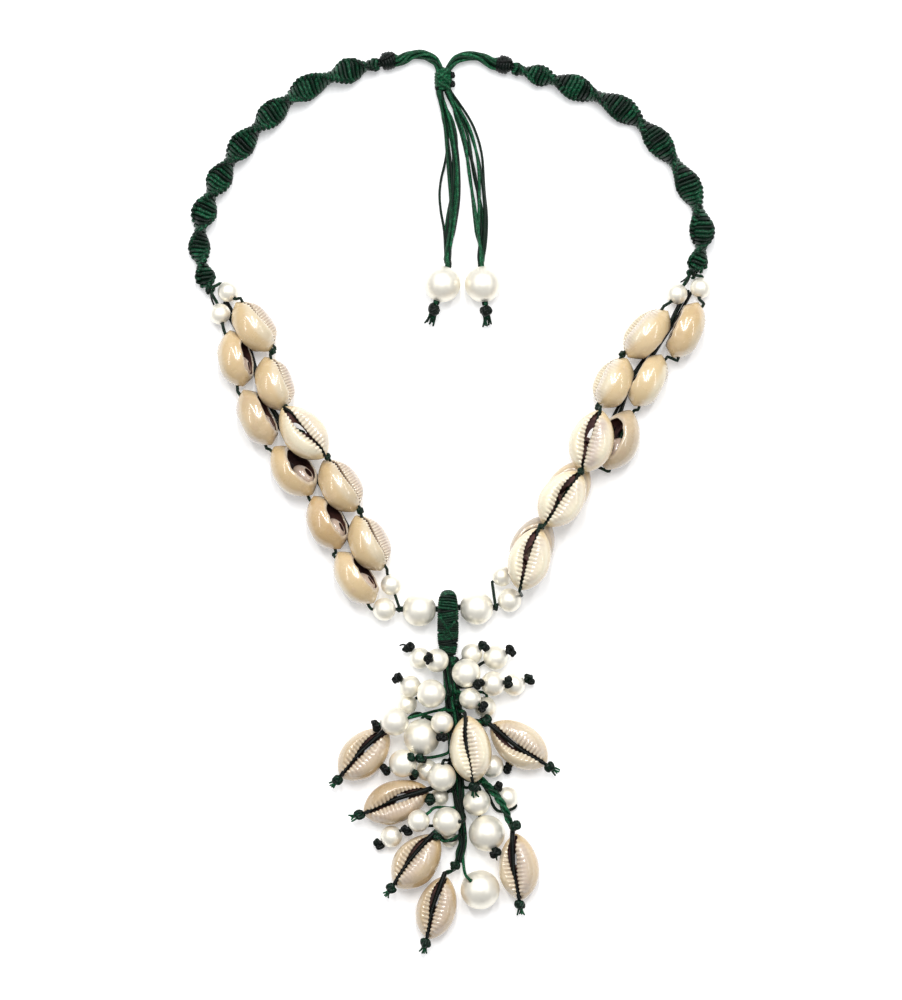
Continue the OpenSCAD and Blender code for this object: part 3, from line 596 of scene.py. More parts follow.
def cowrie_material():
    """Glazed shell: cream face, tan or grey sides, painted shade in the grooves and painted highlights on the
    teeth, and a purple-brown hollow darkened with painted shade.
    """
    material, tree, shader = new_material(
        "glazed_cowrie", IOR=1.52, Coat_Roughness=0.04, Coat_IOR=1.55,
        Subsurface_Weight=0.08, Subsurface_Scale=0.002, Subsurface_Radius=(1.0, 0.7, 0.5))
    side = mix_colour(tree, mask_of(tree, "tan"), colour(0.74, 0.60, 0.365), colour(0.42, 0.265, 0.11))
    side = mix_colour(tree, remap(tree, mask_of(tree, "grey"), 0.65, 0.95), side, colour(0.38, 0.32, 0.25))
    face = mix_colour(tree, mask_of(tree, "tan"), colour(0.87, 0.80, 0.61), colour(0.41, 0.28, 0.15))
    blotch = mottled(tree, 150.0, 0.42, 0.68)
    side = mix_colour(tree, math_node(tree, "MULTIPLY", blotch, 0.4), side, colour(0.70, 0.53, 0.33))
    pink = mottled(tree, 330.0, 0.5, 0.75)
    side = mix_colour(tree, math_node(tree, "MULTIPLY", pink, 0.25), side, colour(0.45, 0.30, 0.21))
    body = mix_colour(tree, mask_of(tree, "face"), side, face)
    # Painted shade: the grooves between the teeth are darkened, broken up by a mottle
    painted_groove_shade = math_node(tree, "MULTIPLY", mask_of(tree, "groove"), mottled(tree, 210.0, 0.3, 0.6))
    body = mix_colour(tree, math_node(tree, "MULTIPLY", painted_groove_shade, 0.75), body, colour(0.30, 0.20, 0.145))
    bloom_share = math_node(tree, "ADD", 0.25, mask_of(tree, "grey"))
    bloom = math_node(tree, "MULTIPLY", mask_of(tree, "bloom"), bloom_share, True)
    body = mix_colour(tree, bloom, body, colour(0.50, 0.40, 0.345))
    # Painted highlight: the tops of the teeth are lightened
    ridge = math_node(tree, "MULTIPLY", mask_of(tree, "ridge"), 0.32)
    body = mix_colour(tree, ridge, body, colour(0.84, 0.78, 0.64))
    body = mix_colour(tree, mask_of(tree, "rim"), body, colour(0.55, 0.45, 0.33))
    # The hollow: the shell's own purple-brown, darkened nearly to black as painted shade inside the shell
    hollow = mix_colour(tree, mottled(tree, 260.0, 0.35, 0.65),
                        colour(0.035, 0.010, 0.010), colour(0.10, 0.035, 0.025))
    body = mix_colour(tree, mask_of(tree, "inside"), body, hollow)
    body = mix_colour(tree, mask_of(tree, "whorl"), body, colour(0.50, 0.38, 0.30))
    tree.links.new(body, shader.inputs["Base Color"])
    tree.links.new(remap(tree, mask_of(tree, "inside"), 0.2, 0.9, 0.8, 0.0), shader.inputs["Coat Weight"])
    dull = math_node(tree, "MULTIPLY", mask_of(tree, "inside"), 0.5)
    rough = math_node(tree, "ADD", math_node(tree, "MULTIPLY", mottled(tree, 420.0, 0.3, 0.8), 0.1), 0.22)
    tree.links.new(math_node(tree, "ADD", dull, rough), shader.inputs["Roughness"])
    bump(tree, shader, mottled(tree, 700.0, 0.2, 0.8), 0.12, 0.0001)
    return material


def pearl_material():
    """Imitation pearl: ivory body under a soft satin lacquer, with faint cream and grey clouds."""
    material, tree, shader = new_material(
        "lacquered_pearl", IOR=1.6, Metallic=0.60, Coat_Weight=0.15, Coat_Roughness=0.22, Coat_IOR=1.5)
    body = mix_colour(tree, mottled(tree, 90.0, 0.35, 0.65),
                      colour(0.93, 0.885, 0.765), colour(0.97, 0.93, 0.815))
    clouds = math_node(tree, "MULTIPLY", mottled(tree, 300.0, 0.4, 0.8), 0.2)
    body = mix_colour(tree, clouds, body, colour(0.90, 0.88, 0.80))
    tree.links.new(body, shader.inputs["Base Color"])
    satin = remap(tree, mottled(tree, 500.0, 0.2, 0.8), 0.0, 1.0, 0.40, 0.47)
    tree.links.new(satin, shader.inputs["Roughness"])
    bump(tree, shader, mottled(tree, 400.0, 0.2, 0.8), 0.03, 0.00005)
    return material


def table_material():
    material, tree, shader = new_material(
        "pale_table", Roughness=0.9, IOR=1.3, Emission_Color=colour(1, 1, 1), Emission_Strength=0.25)
    shade = mix_colour(tree, mottled(tree, 3.0, 0.3, 0.7), colour(0.86, 0.86, 0.86), colour(0.87, 0.87, 0.87))
    tree.links.new(shade, shader.inputs["Base Color"])
    return material


# Each green: its deep and body colour, and the colour of its painted highlight
tie_green, band_green, knot_green, tie_end_green = (
    cord_material(name, colour(*deep), colour(*body), colour(*highlight_colour)) for name, deep, body, highlight_colour in (
        ("waxed_cord_tie", (0.0005, 0.006, 0.003), (0.0015, 0.050, 0.018), (0.02, 0.20, 0.08)),
        ("waxed_cord_band", (0.0004, 0.004, 0.002), (0.001, 0.028, 0.011), (0.015, 0.15, 0.065)),
        ("waxed_cord_knot", (0.0003, 0.0012, 0.0008), (0.0006, 0.005, 0.003), (0.004, 0.03, 0.017)),
        ("waxed_cord_end", (0.0004, 0.002, 0.0012), (0.0008, 0.014, 0.006), (0.008, 0.09, 0.045))))
cowrie_glaze, pearl_lacquer = cowrie_material(), pearl_material()

# ---------------------------------------------------------------- the two tie cords

STRAND_R = 0.43
TIE_POINTS = 96
FIRST_LAYER, LAYER_RISE = 0.62, 0.86    # heights of the strands where they lie open on the table
IN_PEARL = 0.62                         # how far each strand lies from its pearl's axis
# Each strand's place across its bundle at five stations, from -1 to 1, and its layer from the table up
TIE_STRANDS_LEFT = [
    [-0.95, -0.6, -0.25, -0.55, -0.7, 1], [-0.55, -0.1, 0.3, 0.1, -0.3, 0], [-0.2, -0.75, -0.7, -0.15, 0.1, 2],
    [0.15, 0.55, 0.75, 0.75, 0.6, 1], [0.5, 0.9, 0.15, -0.85, -0.8, 0], [0.85, 0.2, 0.55, 0.45, 0.8, 2],
    [-0.35, 0.3, -0.05, -0.35, 0.3, 1]]
TIE_STRANDS_RIGHT = [
    [-0.9, -0.8, -0.65, -0.8, -0.6, 0], [-0.55, -0.35, -0.85, -0.45, -0.2, 2], [-0.1, -0.6, 0.05, 0.1, 0.25, 1],
    [0.25, 0.15, -0.25, 0.6, 0.7, 0], [0.6, 0.75, 0.6, -0.15, -0.8, 2], [0.95, 0.5, 0.85, 0.85, 0.3, 1]]
# The strand of each bundle that bows away: share of the way, and how far to the side
LOOSE_LEFT = [[0, 0.0], [0.26, -0.6], [0.40, -1.9], [0.55, -4.2],
              [0.68, -3.9], [0.80, -1.6], [0.9, -0.8], [1, -0.4]]
LOOSE_RIGHT = [[0, 0.4], [0.2, 2.3], [0.38, 3.0], [0.6, 2.0], [0.75, 2.2], [0.9, 1.3], [1, 0.4]]


def tie_line(rows, bead):
    """The bundle's own line, down to its end knot under the pearl, and its radius."""
    way = aim(bead[4], bead[5])
    mouth = bead[3] / 2 + MOUTH
    line = smooth([[rows[0][0] * 0.7 + SLIDING[0] * 0.3, SLIDING[1] - 2.0, 2.9, 0.5]] + rows, 10)
    through = np.array([place(bead) - way * mouth, place(bead), place(bead) + way * mouth])
    line = np.concatenate([line, [[*p, 0.42] for p in through]])
    return evenly(line, TIE_POINTS)


def tie_bundle(name, rows, bead, strands, loose, node, shades):
    line = tie_line(rows, bead)
    share = run_length(line[:, :3])
    full = share[-1]
    entry = (full - bead[3] - 2 * MOUTH) / full
    share = share / full
    way, side, up = cross_frame(line[:, :3], facing=(0, 0, 1))
    half = TIE_D / 2 * line[:, 3]
    inside = ease((share - entry + 0.03) / 0.05)
    open_out = ease(share / 0.16) * (1 - ease((share - entry + 0.16) / 0.15))
    form = Form("shade")
    for k, (*stations, layer) in enumerate(strands):
        across = softened(np.interp(share, np.linspace(0, entry, 5), stations), 6)
        packed = 2 * math.pi * k / len(strands) + 0.6
        tight = np.maximum(half - STRAND_R, 0.56)
        u = across * (half - STRAND_R + 0.25) * open_out + math.cos(packed) * tight * (1 - open_out)
        v_open = FIRST_LAYER + LAYER_RISE * layer - line[:, 2]
        v = v_open * open_out + math.sin(packed) * np.minimum(tight, 0.9) * (1 - open_out)
        u = u * (1 - inside) + math.cos(packed) * IN_PEARL * inside
        v = v * (1 - inside) + math.sin(packed) * IN_PEARL * inside
        points = line[:, :3] - side * u[:, None] + up * v[:, None]
        tube(form, points, STRAND_R * (1 - 0.18 * inside), shade=shades[k % len(shades)])
    bow = np.array(loose)
    u = softened(np.interp(share, bow[:, 0] * entry, bow[:, 1]), 5) * (1 - inside)
    v = (0.5 - line[:, 2]) * open_out * (1 - inside) + 0.3
    tube(form, line[:, :3] + side * u[:, None] * -1 + up * v[:, None], STRAND_R * 0.86, shade=0.3)
    piece = form.build(name, tie_green, "waxed_cord", node)
    return piece, line[:, :3]


def frayed_tuft(form, start, way, count, length, spread, rng, radius=0.3, shade=0.8):
    """Short ends of cord that stand side by side past a knot and fan out a little."""
    side = unit(np.cross(way, [0, 0, 1])) if abs(way[2]) < 0.9 else np.array([1.0, 0, 0])
    up = np.cross(side, way)
    for k in range(count):
        place_across = (2 * k / max(count - 1, 1) - 1)
        lean = side * (place_across * spread + rng.uniform(-0.08, 0.08)) + up * rng.uniform(-0.2, 0.2)
        foot = side * place_across * radius * count * 0.32 + up * rng.uniform(-0.5, 0.5) * radius
        reach = length * rng.uniform(0.72, 1.0)
        curl = side * rng.uniform(-0.25, 0.25)
        points = [start + foot + way * reach * t + lean * reach * t * t + curl * math.sin(math.pi * t)
                  for t in np.linspace(0, 1, 6)]
        points = [np.array([p[0], p[1], max(p[2], radius + 0.05)]) for p in points]
        tube(form, points, np.linspace(radius, radius * 0.75, 6), 6, shade=shade * rng.uniform(0.6, 1.2))


def ball(form, centre, radii, axis, shade=0.2):
    """A rounded heart for a knot, its long radius along the axis."""
    t = np.linspace(-1, 1, 9) * 0.97
    points = [np.asarray(centre) + unit(axis) * radii[0] * v for v in t]
    tube(form, points, radii[1] * np.sqrt(1 - t ** 2) + 0.01, 12, shade=shade)


def overhand_knot(form, centre, way, size, rng, thick=0.2, shade=0.3):
    """A tight overhand knot: a closed three-lobed loop of cord pulled down on a small heart."""
    radius = size * thick
    t = np.linspace(0, 2 * math.pi, 42, endpoint=False)
    loop = np.stack([np.sin(t) + 2 * np.sin(2 * t), np.cos(t) - 2 * np.cos(2 * t),
                     -1.9 * np.sin(3 * t)], axis=1)
    loop *= (size - 2 * radius) / 6
    loop = turned(loop, rng.uniform(0, 360))
    loop = loop * [rng.uniform(0.8, 0.95), rng.uniform(1.0, 1.15), rng.uniform(1.0, 1.3)]
    heading = math.degrees(math.atan2(way[1], way[0]))
    lift = math.degrees(math.asin(max(-1, min(1, way[2]))))
    loop = turned(loop, heading, 90 - lift, rng.uniform(-25, 25), centre)
    tube(form, loop, radius * (1 + 0.12 * np.sin(2 * t + rng.uniform(0, 6))), closed=True, shade=shade)
    ball(form, centre, (size * 0.38, size * 0.29), way, shade * 0.6)


def wound_knot(form, centre, way, width, length, turns, rng, radius=0.6, flat=1.0, shade=0.3):
    """A barrel knot: one cord wound in close turns round a core, drawn in at both ends."""
    way = unit(way)
    side = unit(np.cross([0, 0, 1], way))
    up = np.cross(way, side)
    steps = int(turns * 20)
    t = np.linspace(0, 1, steps)
    angle = 2 * math.pi * turns * t
    r = (width / 2 - radius) * (1 - 0.32 * np.abs(2 * t - 1) ** 3.5)
    s = -length / 2 + radius + t * (length - 2 * radius)
    points = around(centre + way * s[:, None], side, up, r, r * flat, angle)
    tube(form, points, radius * np.interp(t, [0, 0.04, 0.96, 1], [0.6, 1, 1, 0.6]),
         shade=shade * rng.uniform(0.9, 1.1))
    ball(form, centre, (length / 2 - radius * 0.3, width / 2 - radius), way, shade * 0.5)


def tie_end(name, bead, node, rng):
    way = aim(bead[4], bead[5])
    centre = place(bead) + way * (bead[3] / 2 + MOUTH + 0.2 + TIE_END_L / 2)
    form = Form("shade")
    wound_knot(form, centre, way, TIE_END_W, TIE_END_L, 2.5, rng, 0.62, shade=0.35)
    overhand_knot(form, centre + np.array([0, 0, 0.35]), way, TIE_END_W, rng, 0.2, 0.3)
    frayed_tuft(form, centre + way * 1.1 - np.array([0, 0, 0.9]), unit(way - np.array([0, 0, 0.35])),
                6, 3.4, 0.12, rng, 0.38, 1.0)
    return form.build(name, tie_end_green, "knot_cord", node)


random_end = random.Random(5)
end_left = tie_end("tie_end_left", TIE_PEARLS[0], "tie_end_knot_left", random_end)
end_right = tie_end("tie_end_right", TIE_PEARLS[1], "tie_end_knot_right", random_end)

for side_name, rows, bead, strands, loose, end_piece, shades in (
        ("left", LEFT_TIE, TIE_PEARLS[0], TIE_STRANDS_LEFT, LOOSE_LEFT, end_left,
         [0.25, 0.8, 0.55, 0.15, 0.7, 0.9, 0.35]),
        ("right", RIGHT_TIE, TIE_PEARLS[1], TIE_STRANDS_RIGHT, LOOSE_RIGHT, end_right,
         [0.6, 0.9, 0.2, 0.5, 0.8, 0.3])):
    bundle, line = tie_bundle(f"tie_bundle_{side_name}", rows, bead, strands, loose,
                              f"tie_cord_{side_name}", shades)
    path = line * MM
    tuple(path[0])
    float(run_length(path)[-1])

# ---------------------------------------------------------------- fastening


def round_bundle(form, rows, count, radius, twist, shades, points=30, squeeze=0.8):
    """Cords laid side by side round one in the middle, turning slowly along the bundle."""
    line = evenly(smooth(rows, 8), points)
    way, side, up = cross_frame(line[:, :3], facing=(0, 0, 1))
    s = np.linspace(0, 1, points)
    reach = np.maximum(TIE_D / 2 * line[:, 3] - radius, 0.4)
    for k in range(count):
        ring = 0.0 if k == 0 else 1.0
        angle = 2 * math.pi * k / (count - 1) + twist * 2 * math.pi * s + 0.25 * np.sin(5 * s + 2.1 * k)
        cord = around(line[:, :3], side, up, ring * reach, ring * squeeze * reach, angle)
        tube(form, cord, radius, shade=shades[k % len(shades)])


for side_name, rows, twist, stopper, sign in (("left", LEFT_BACK, 0.7, STOPPERS[0], 1),
                                              ("right", RIGHT_BACK, -0.6, STOPPERS[1], -1)):
    form = Form("shade")
    into = aim(stopper[2]) * 1.2 * sign
    rows = ([[stopper[0] + into[0], stopper[1] + into[1], 2.8, 0.8]] + rows
            + [[SLIDING[0] - 0.9 * sign, SLIDING[1] + 2.2, 3.0, 0.5]])
    round_bundle(form, rows, 7, 0.45, twist, [0.4, 0.75, 0.5, 0.9, 0.45, 0.8, 0.6])
    form.build(f"back_cords_{side_name}", tie_green, "waxed_cord", f"back_strands_{side_name}")

knot_rng = random.Random(11)
for side_name, (x, y, heading) in zip(("left", "right"), STOPPERS):
    form = Form("shade")
    centre = np.array([x, y, STOPPER_W / 2])
    wound_knot(form, centre, aim(heading), STOPPER_W, STOPPER_L, 4.5, knot_rng, 0.6, 0.97, 0.5)
    across = np.cross([0, 0, 1], aim(heading))
    strap = [centre + aim(heading) * s * STOPPER_L * 0.42 + across * (0.8 + 0.6 * s)
             + np.array([0, 0, (STOPPER_W / 2 - 0.2) * math.cos(s * 0.95)]) for s in np.linspace(-1, 1, 9)]
    tube(form, strap, 0.42, shade=0.3)
    outward = aim(heading) * (-1 if side_name == "left" else 1)
    for k in (-1, 0, 1):
        beside = across * 0.75 * k + np.array([0, 0, 0.9 - 0.4 * abs(k)])
        tube(form, [centre + beside + outward * reach for reach in (0.5, 2.0, 3.0, 3.9)], 0.5, shade=0.5)
    form.build(f"stopper_{side_name}", knot_green, "knot_cord", f"stopper_knot_{side_name}")

form = Form("shade")
slide_at = np.array([SLIDING[0], SLIDING[1], SLIDE_W / 2])
wound_knot(form, slide_at, aim(SLIDING[2]), SLIDE_W * 0.96, SLIDE_L, 6.5, knot_rng, 0.5, 0.95, 0.85)
for start, end in (((-1.9, 2.4), (1.7, -1.2)), ((1.4, 2.6), (-1.7, 0.2)), ((-1.5, -0.6), (1.2, -2.4))):
    strap = []
    for t in np.linspace(0, 1, 9):
        across, along = (start[k] + (end[k] - start[k]) * t for k in range(2))
        strap.append(slide_at + np.array([across, along, math.sqrt(max(0.2, 2.75 ** 2 - across ** 2)) - 0.1]))
    tube(form, strap, 0.45, shade=0.75)
form.build("sliding_wrap", tie_green, "waxed_cord", "sliding_knot")

form = Form("shade")
for dx, dy, size in ((2.3, 1.2, 2.3), (2.4, -1.3, 2.5), (-1.5, -2.4, 2.2)):
    overhand_knot(form, slide_at + np.array([dx, dy, 0.6]), aim(90), size, knot_rng, 0.23, 0.35)
form.build("sliding_wrap_ends", knot_green, "knot_cord")

# ---------------------------------------------------------------- knotted neck bands

ROW_PITCH = 1.13
BAND_CORD = 0.56
CORE_ANGLES = 2 * math.pi * np.arange(12) / 12
LOOP_ANGLES = np.linspace(0, 2 * math.pi, 26, endpoint=False)


def neck_band(name, rows, node, rng):
    """Half knots over a core: each row is a flat loop round the core, a little turned from the last."""
    line = smooth(rows, 40)
    turn = 180 * (np.arange(len(line)) / 40 - 1)
    points = np.column_stack([line[:, 0], line[:, 1], np.full(len(line), BAND_HEIGHT)])
    s = run_length(points)
    way, _, _ = cross_frame(points, facing=(0, 0, 1))
    form = Form("shade")

    def at(distance):
        p, d = at_distance(distance, s, points), unit(at_distance(distance, s, way))
        side = unit(np.cross([0, 0, 1], d))
        up = np.cross(d, side)
        a = math.radians(np.interp(distance, s, turn))
        wide = side * math.cos(a) + up * math.sin(a)
        thick = -side * math.sin(a) + up * math.cos(a)
        share = np.interp(distance, s, line[:, 2])
        return p, d, wide, thick, BAND_W / 2 * share, BAND_T / 2 * math.sqrt(share)

    steps, rings = np.linspace(0.2, s[-1] - 0.2, 150), []
    for distance in steps:
        p, d, wide, thick, w, t = at(distance)
        rings.append([p + wide * (w - 0.75) * math.cos(a) + thick * (t - 0.62) * math.sin(a)
                      for a in CORE_ANGLES])
    core(form, np.array(rings), [at(steps[0])[0], at(steps[-1])[0]], 0.15)

    # half knots
    angles = LOOP_ANGLES
    for k, distance in enumerate(np.arange(0.5, s[-1] - 0.3, ROW_PITCH)):
        p, d, wide, thick, w, t = at(distance)
        cord = BAND_CORD * rng.uniform(0.94, 1.05)
        w, t = max(w - cord, 0.7) * rng.uniform(0.97, 1.03), max(t - cord, 0.6)
        lift = 0.10 * np.abs(np.sin(angles))
        slant = 0.30 * ROW_PITCH * np.sin(2 * angles) + rng.uniform(-0.06, 0.06)
        loop = (p + wide * (w * np.sign(np.cos(angles)) * np.abs(np.cos(angles)) ** 0.85)[:, None]
                + thick * ((t + lift) * np.sin(angles))[:, None] + d * slant[:, None])
        radii = cord * (1 + 0.10 * np.abs(np.cos(angles)) ** 8)
        tube(form, loop, radii, 7, closed=True, facing=d, shade=rng.uniform(0.25, 0.95))
        for edge in (-1, 1):
            bead = [p + wide * edge * (w + reach) + d * (ahead * ROW_PITCH + 0.5 * ROW_PITCH)
                    + thick * drift for reach, ahead, drift in
                    ((-0.35, -0.52, 0.5), (0.26, -0.25, 0.25), (0.36, 0.0, 0.0),
                     (0.26, 0.25, -0.25), (-0.35, 0.52, -0.5))]
            tube(form, bead, cord * 0.82, 6, shade=rng.uniform(0.2, 0.9))
    form.build(name, band_green, "waxed_cord", node)


neck_band("neck_band_left", LEFT_BAND, "macrame_left", random.Random(21))
neck_band("neck_band_right", RIGHT_BAND, "macrame_right", random.Random(22))

# Cords that leave the lower end of each band for its two pearls
form = Form("shade")
for start, pearl in (((-68.9, 60.6, 4.0), NECK_PEARLS[0]), ((-69.0, 59.8, 3.6), NECK_PEARLS[1]),
                     ((68.4, 64.9, 4.0), NECK_PEARLS[2]), ((69.0, 64.6, 3.6), NECK_PEARLS[3])):
    way = aim(pearl[4], pearl[5])
    mouth = place(pearl) - way * (pearl[3] / 2 + 0.3)
    line = smooth([start, (np.array(start) + mouth) / 2 + np.array([0, 0, 0.4]), mouth, place(pearl)], 5)
    tube(form, line, CORD_R, shade=0.5)
for foot, way, length, seed in (([-68.6, 59.0, 2.6], [0.35, -1, -0.35], 4.2, 3),
                                ([68.0, 64.0, 2.6], [-0.75, -0.9, -0.3], 3.6, 4)):
    frayed_tuft(form, np.array(foot), unit(way), 2, length, 0.15, random.Random(seed), 0.3, 0.3)
form.build("band_end_cords", band_green, "waxed_cord")

# ---------------------------------------------------------------- cowries

AROUND, WHORL_AROUND = 208, 36
FACE_UP, ON_SIDE, FACE_DOWN = 40, 60, 150       # degrees of roll
TOOTH_PITCH, FINE_TOOTH_PITCH = 1.2, 0.84
SHIFT = 0.1                          # widest place, as a share of the half length past the middle
SLIT_REACH = 0.955                   # share of the shell's length that the slit takes
FACE_LEVEL = 0.72 * SHELL_RISE
CUT_LEVEL = 0.55 * SHELL_RISE
TIP_TAPER, ALMOND = 0.34, 0.30       # how fast a shell falls and narrows toward its tips
# Reach of the ribs on the inner lip, their pitch and height, and how far the slit is open
SIDE_RIBS, FACE_RIBS = (5.0, FINE_TOOTH_PITCH, 0.24, 1.0), (3.2, TOOTH_PITCH, 0.17, 1.35)
FIRST_PENDANT_RIBS, PENDANT_RIBS = (3.8, TOOTH_PITCH, 0.20, 0.85), (3.8, TOOTH_PITCH, 0.20, 1.6)


def soft_min(a, b, width=0.42):
    return -width * np.log(np.exp(-a / width) + np.exp(-b / width))


def egg(x, half):
    """Share of the way from the middle to the outline along the shell, the blunt half being shorter."""
    x = x / half - SHIFT
    return np.clip(np.where(x > 0, x / (1 - SHIFT), x / (1 + SHIFT)), -1, 1)


def dome(x, y, a, b, rise):
    """Height of the shell's rounded body over a point inside its outline."""
    room = 1 - egg(x, a) ** 2
    edge = np.maximum(b * room ** (0.5 + ALMOND / 2), 1e-6)
    return rise * room ** (0.5 + TIP_TAPER) * np.sqrt(np.clip(1 - (y / edge) ** 2, 0, 1))


def cut_share(x, y, a, b, rise, level):
    """How far to draw the outline in so that the body's height comes to the cut's level."""
    low, high = np.zeros_like(x), np.full_like(x, math.pi / 2)
    for _ in range(24):
        t = (low + high) / 2
        deep = dome(SHIFT * a + (x - SHIFT * a) * np.cos(t), y * np.cos(t), a, b, rise) > level
        high, low = np.where(deep, t, high), np.where(deep, low, t)
    return (low + high) / 2


def cowrie_rings(length, width, rib_out, pitch, relief, open_by, rng):
    """Rings of points from the slit over a lip, round the side, over the cut rim and back inside."""
    a, b = length / 2, width / 2
    k = 2 * math.pi * np.arange(AROUND) / AROUND
    phi = k + 0.15 * np.sin(2 * k)
    c, s = np.cos(phi), np.sin(phi)
    stretch = np.where(c > 0, 1 - SHIFT, 1 + SHIFT)
    outline = a * (SHIFT + stretch * c), b * s * np.abs(s) ** ALMOND

    # the slit, its bow, and the teeth that reach into it
    slit_x = a * (SHIFT + stretch * c * SLIT_REACH)
    along = egg(slit_x, a)
    sway = rng.uniform(0.08, 0.16)
    bow = -b * (sway * (1 - along ** 2) - 0.06 * np.sin(math.pi * along)) * (1 - along ** 8)
    gap = open_by * (0.46 + 0.46 * ease((-along + 0.35) / 0.8) - 0.12 * ease((-along - 0.75) / 0.25))
    labral = s < 0
    shift = rng.uniform(0, 1)
    rib = 0.5 + 0.5 * np.cos(2 * math.pi * (slit_x / pitch + shift + 0.5 * labral + 0.12 * np.sin(3 * phi)))
    window = ease((1 - np.abs(along)) / 0.16)
    tooth = rib ** 0.9 * window
    slit_y = bow + np.sign(s) * np.abs(s) ** 0.3 * (gap - 0.26 * tooth)
    rings, masks = [], []

    def ring(x, y, z, **values):
        rings.append(np.stack([x, y, np.broadcast_to(z, x.shape)], axis=1))
        masks.append({m: np.broadcast_to(np.asarray(v, float), x.shape) for m, v in values.items()})

    # the face: from the slit over both lips to the outline
    rib_reach = np.where(labral, 1.9, rib_out) * (1 - 0.25 * along ** 2)
    for t in np.sin(np.linspace(0, math.pi / 2, 18)):
        x, y = slit_x * (1 - t) + outline[0] * t, slit_y * (1 - t) + outline[1] * t
        away = np.hypot(x - slit_x, y - slit_y)
        z_round = dome(x, y, a, b, SHELL_RISE)
        lip = np.where(labral, 0.22 * np.exp(-((away - 2.2) / 1.2) ** 2),
                       0.10 * np.exp(-((away - 4.2) / 0.9) ** 2))
        z_face = FACE_LEVEL + 0.30 - 1.3 * np.exp(-(away / 1.1) ** 2) + lip - 0.03 * away ** 2
        z = soft_min(z_round, z_face, 0.3)
        fade = ease(1.15 - away / rib_reach) * (1 - 0.35 * away / rib_reach)
        z = z + np.where(labral, 0.30, relief) * tooth * fade * np.clip(z / 2, 0, 1)
        face = ease((z - 1.6) / 1.8)
        # The groove mask paints shade in the grooves between the teeth, and the ridge mask paints highlights on
        # their tops
        ring(x, y, z, face=face, groove=(1 - rib) ** 2 * window * fade * face, ridge=tooth * fade * face,
             bloom=np.where(labral, 0.0, 1.0) * ease(1 - np.abs(away - 2.0) / 3.0) * window * face)

    # the sides and the back, down to the cut
    wobble = (0.05 * np.sin(3 * k + rng.uniform(0, 6)) + 0.03 * np.sin(7 * k + rng.uniform(0, 6))) * CUT_LEVEL
    level = 0.97 * CUT_LEVEL - np.abs(wobble)
    cut = cut_share(outline[0], outline[1], a, b, SHELL_RISE, level)
    for t in np.linspace(0, 1, 8)[1:]:
        x, y = SHIFT * a + (outline[0] - SHIFT * a) * np.cos(cut * t), outline[1] * np.cos(cut * t)
        ring(x, y, -dome(x, y, a, b, SHELL_RISE), rim=ease((t - 0.93) / 0.07) * 0.7)
    edge = x, y

    # the cut's rim and the wall's inner side
    ai, bi, hi = a - SHELL_WALL, b - SHELL_WALL, SHELL_RISE - SHELL_WALL
    inner = ai * (SHIFT + stretch * c) + SHIFT * (a - ai), bi * s * np.abs(s) ** ALMOND
    inner_cut = cut_share(inner[0], inner[1], ai, bi, hi, level)
    lip_in = SHIFT * ai + (inner[0] - SHIFT * ai) * np.cos(inner_cut), inner[1] * np.cos(inner_cut)
    for blend in (0.2, 0.5, 0.8):
        x, y = edge[0] * (1 - blend) + lip_in[0] * blend, edge[1] * (1 - blend) + lip_in[1] * blend
        ring(x, y, -level - 0.10 * math.sin(math.pi * blend), rim=1.0)
    for t in np.linspace(1, 0, 9):
        x, y = SHIFT * ai + (inner[0] - SHIFT * ai) * np.cos(inner_cut * t), inner[1] * np.cos(inner_cut * t)
        ring(x, y, -dome(x, y, ai, bi, hi), inside=ease((1 - t) / 0.12), rim=1 - ease((1 - t) / 0.12))

    # under the face and back to the slit
    for t in (0.93, 0.75, 0.5, 0.25):
        x, y = slit_x * (1 - t) + inner[0] * t, slit_y * (1 - t) + inner[1] * t
        ring(x, y, soft_min(dome(x, y, ai, bi, hi), np.full_like(x, FACE_LEVEL - SHELL_WALL - 0.5)), inside=1.0)
    edge = rings[0][:, 2]
    for drop, part in ((1.35, 1.0), (0.7, 0.9)):
        ring(slit_x, slit_y + np.sign(s) * 0.06 * drop, edge - drop, inside=part)
    return rings, masks


def inner_whorl(a, b):
    """The inner turn of the shell, pale toward the cut and with its own small hollow, and a pillar under the
    slit, dark all over as painted shade.
    """
    k = 2 * math.pi * np.arange(WHORL_AROUND) / WHORL_AROUND
    for centre, reach, pale, hollow in (
            ((0.36 * a, -0.22 * b, -0.4), (0.44 * a, 0.42 * b, 2.7), 1.0, 0.74),
            ((-0.08 * a, -0.06 * b, 1.1), (0.72 * a, 0.46 * b, 1.5), 0.0, 0.6)):
        rings, masks = [], []
        steps = [(t, 1.0) for t in np.linspace(40, -62, 8)] + [(t, hollow) for t in np.linspace(-62, 30, 6)]
        for t, scale in steps:
            t = math.radians(t)
            height = centre[2] + reach[2] * (scale if t > 0 else 1) * math.sin(t)
            rings.append(np.stack([centre[0] + reach[0] * scale * math.cos(t) * np.cos(k),
                                   centre[1] + reach[1] * scale * math.cos(t) * np.sin(k),
                                   np.full(WHORL_AROUND, height)], axis=1))
            share = pale * float(scale == 1) * float(ease((0.35 - t) / 0.6))
            masks.append({"whorl": np.full(WHORL_AROUND, share), "inside": np.full(WHORL_AROUND, 1 - share)})
        if not pale:
            rings, masks = rings[:8] + [rings[7] * [1, 1, 0] + [0, 0, centre[2] - 1.4]], masks[:9]
        yield rings, masks


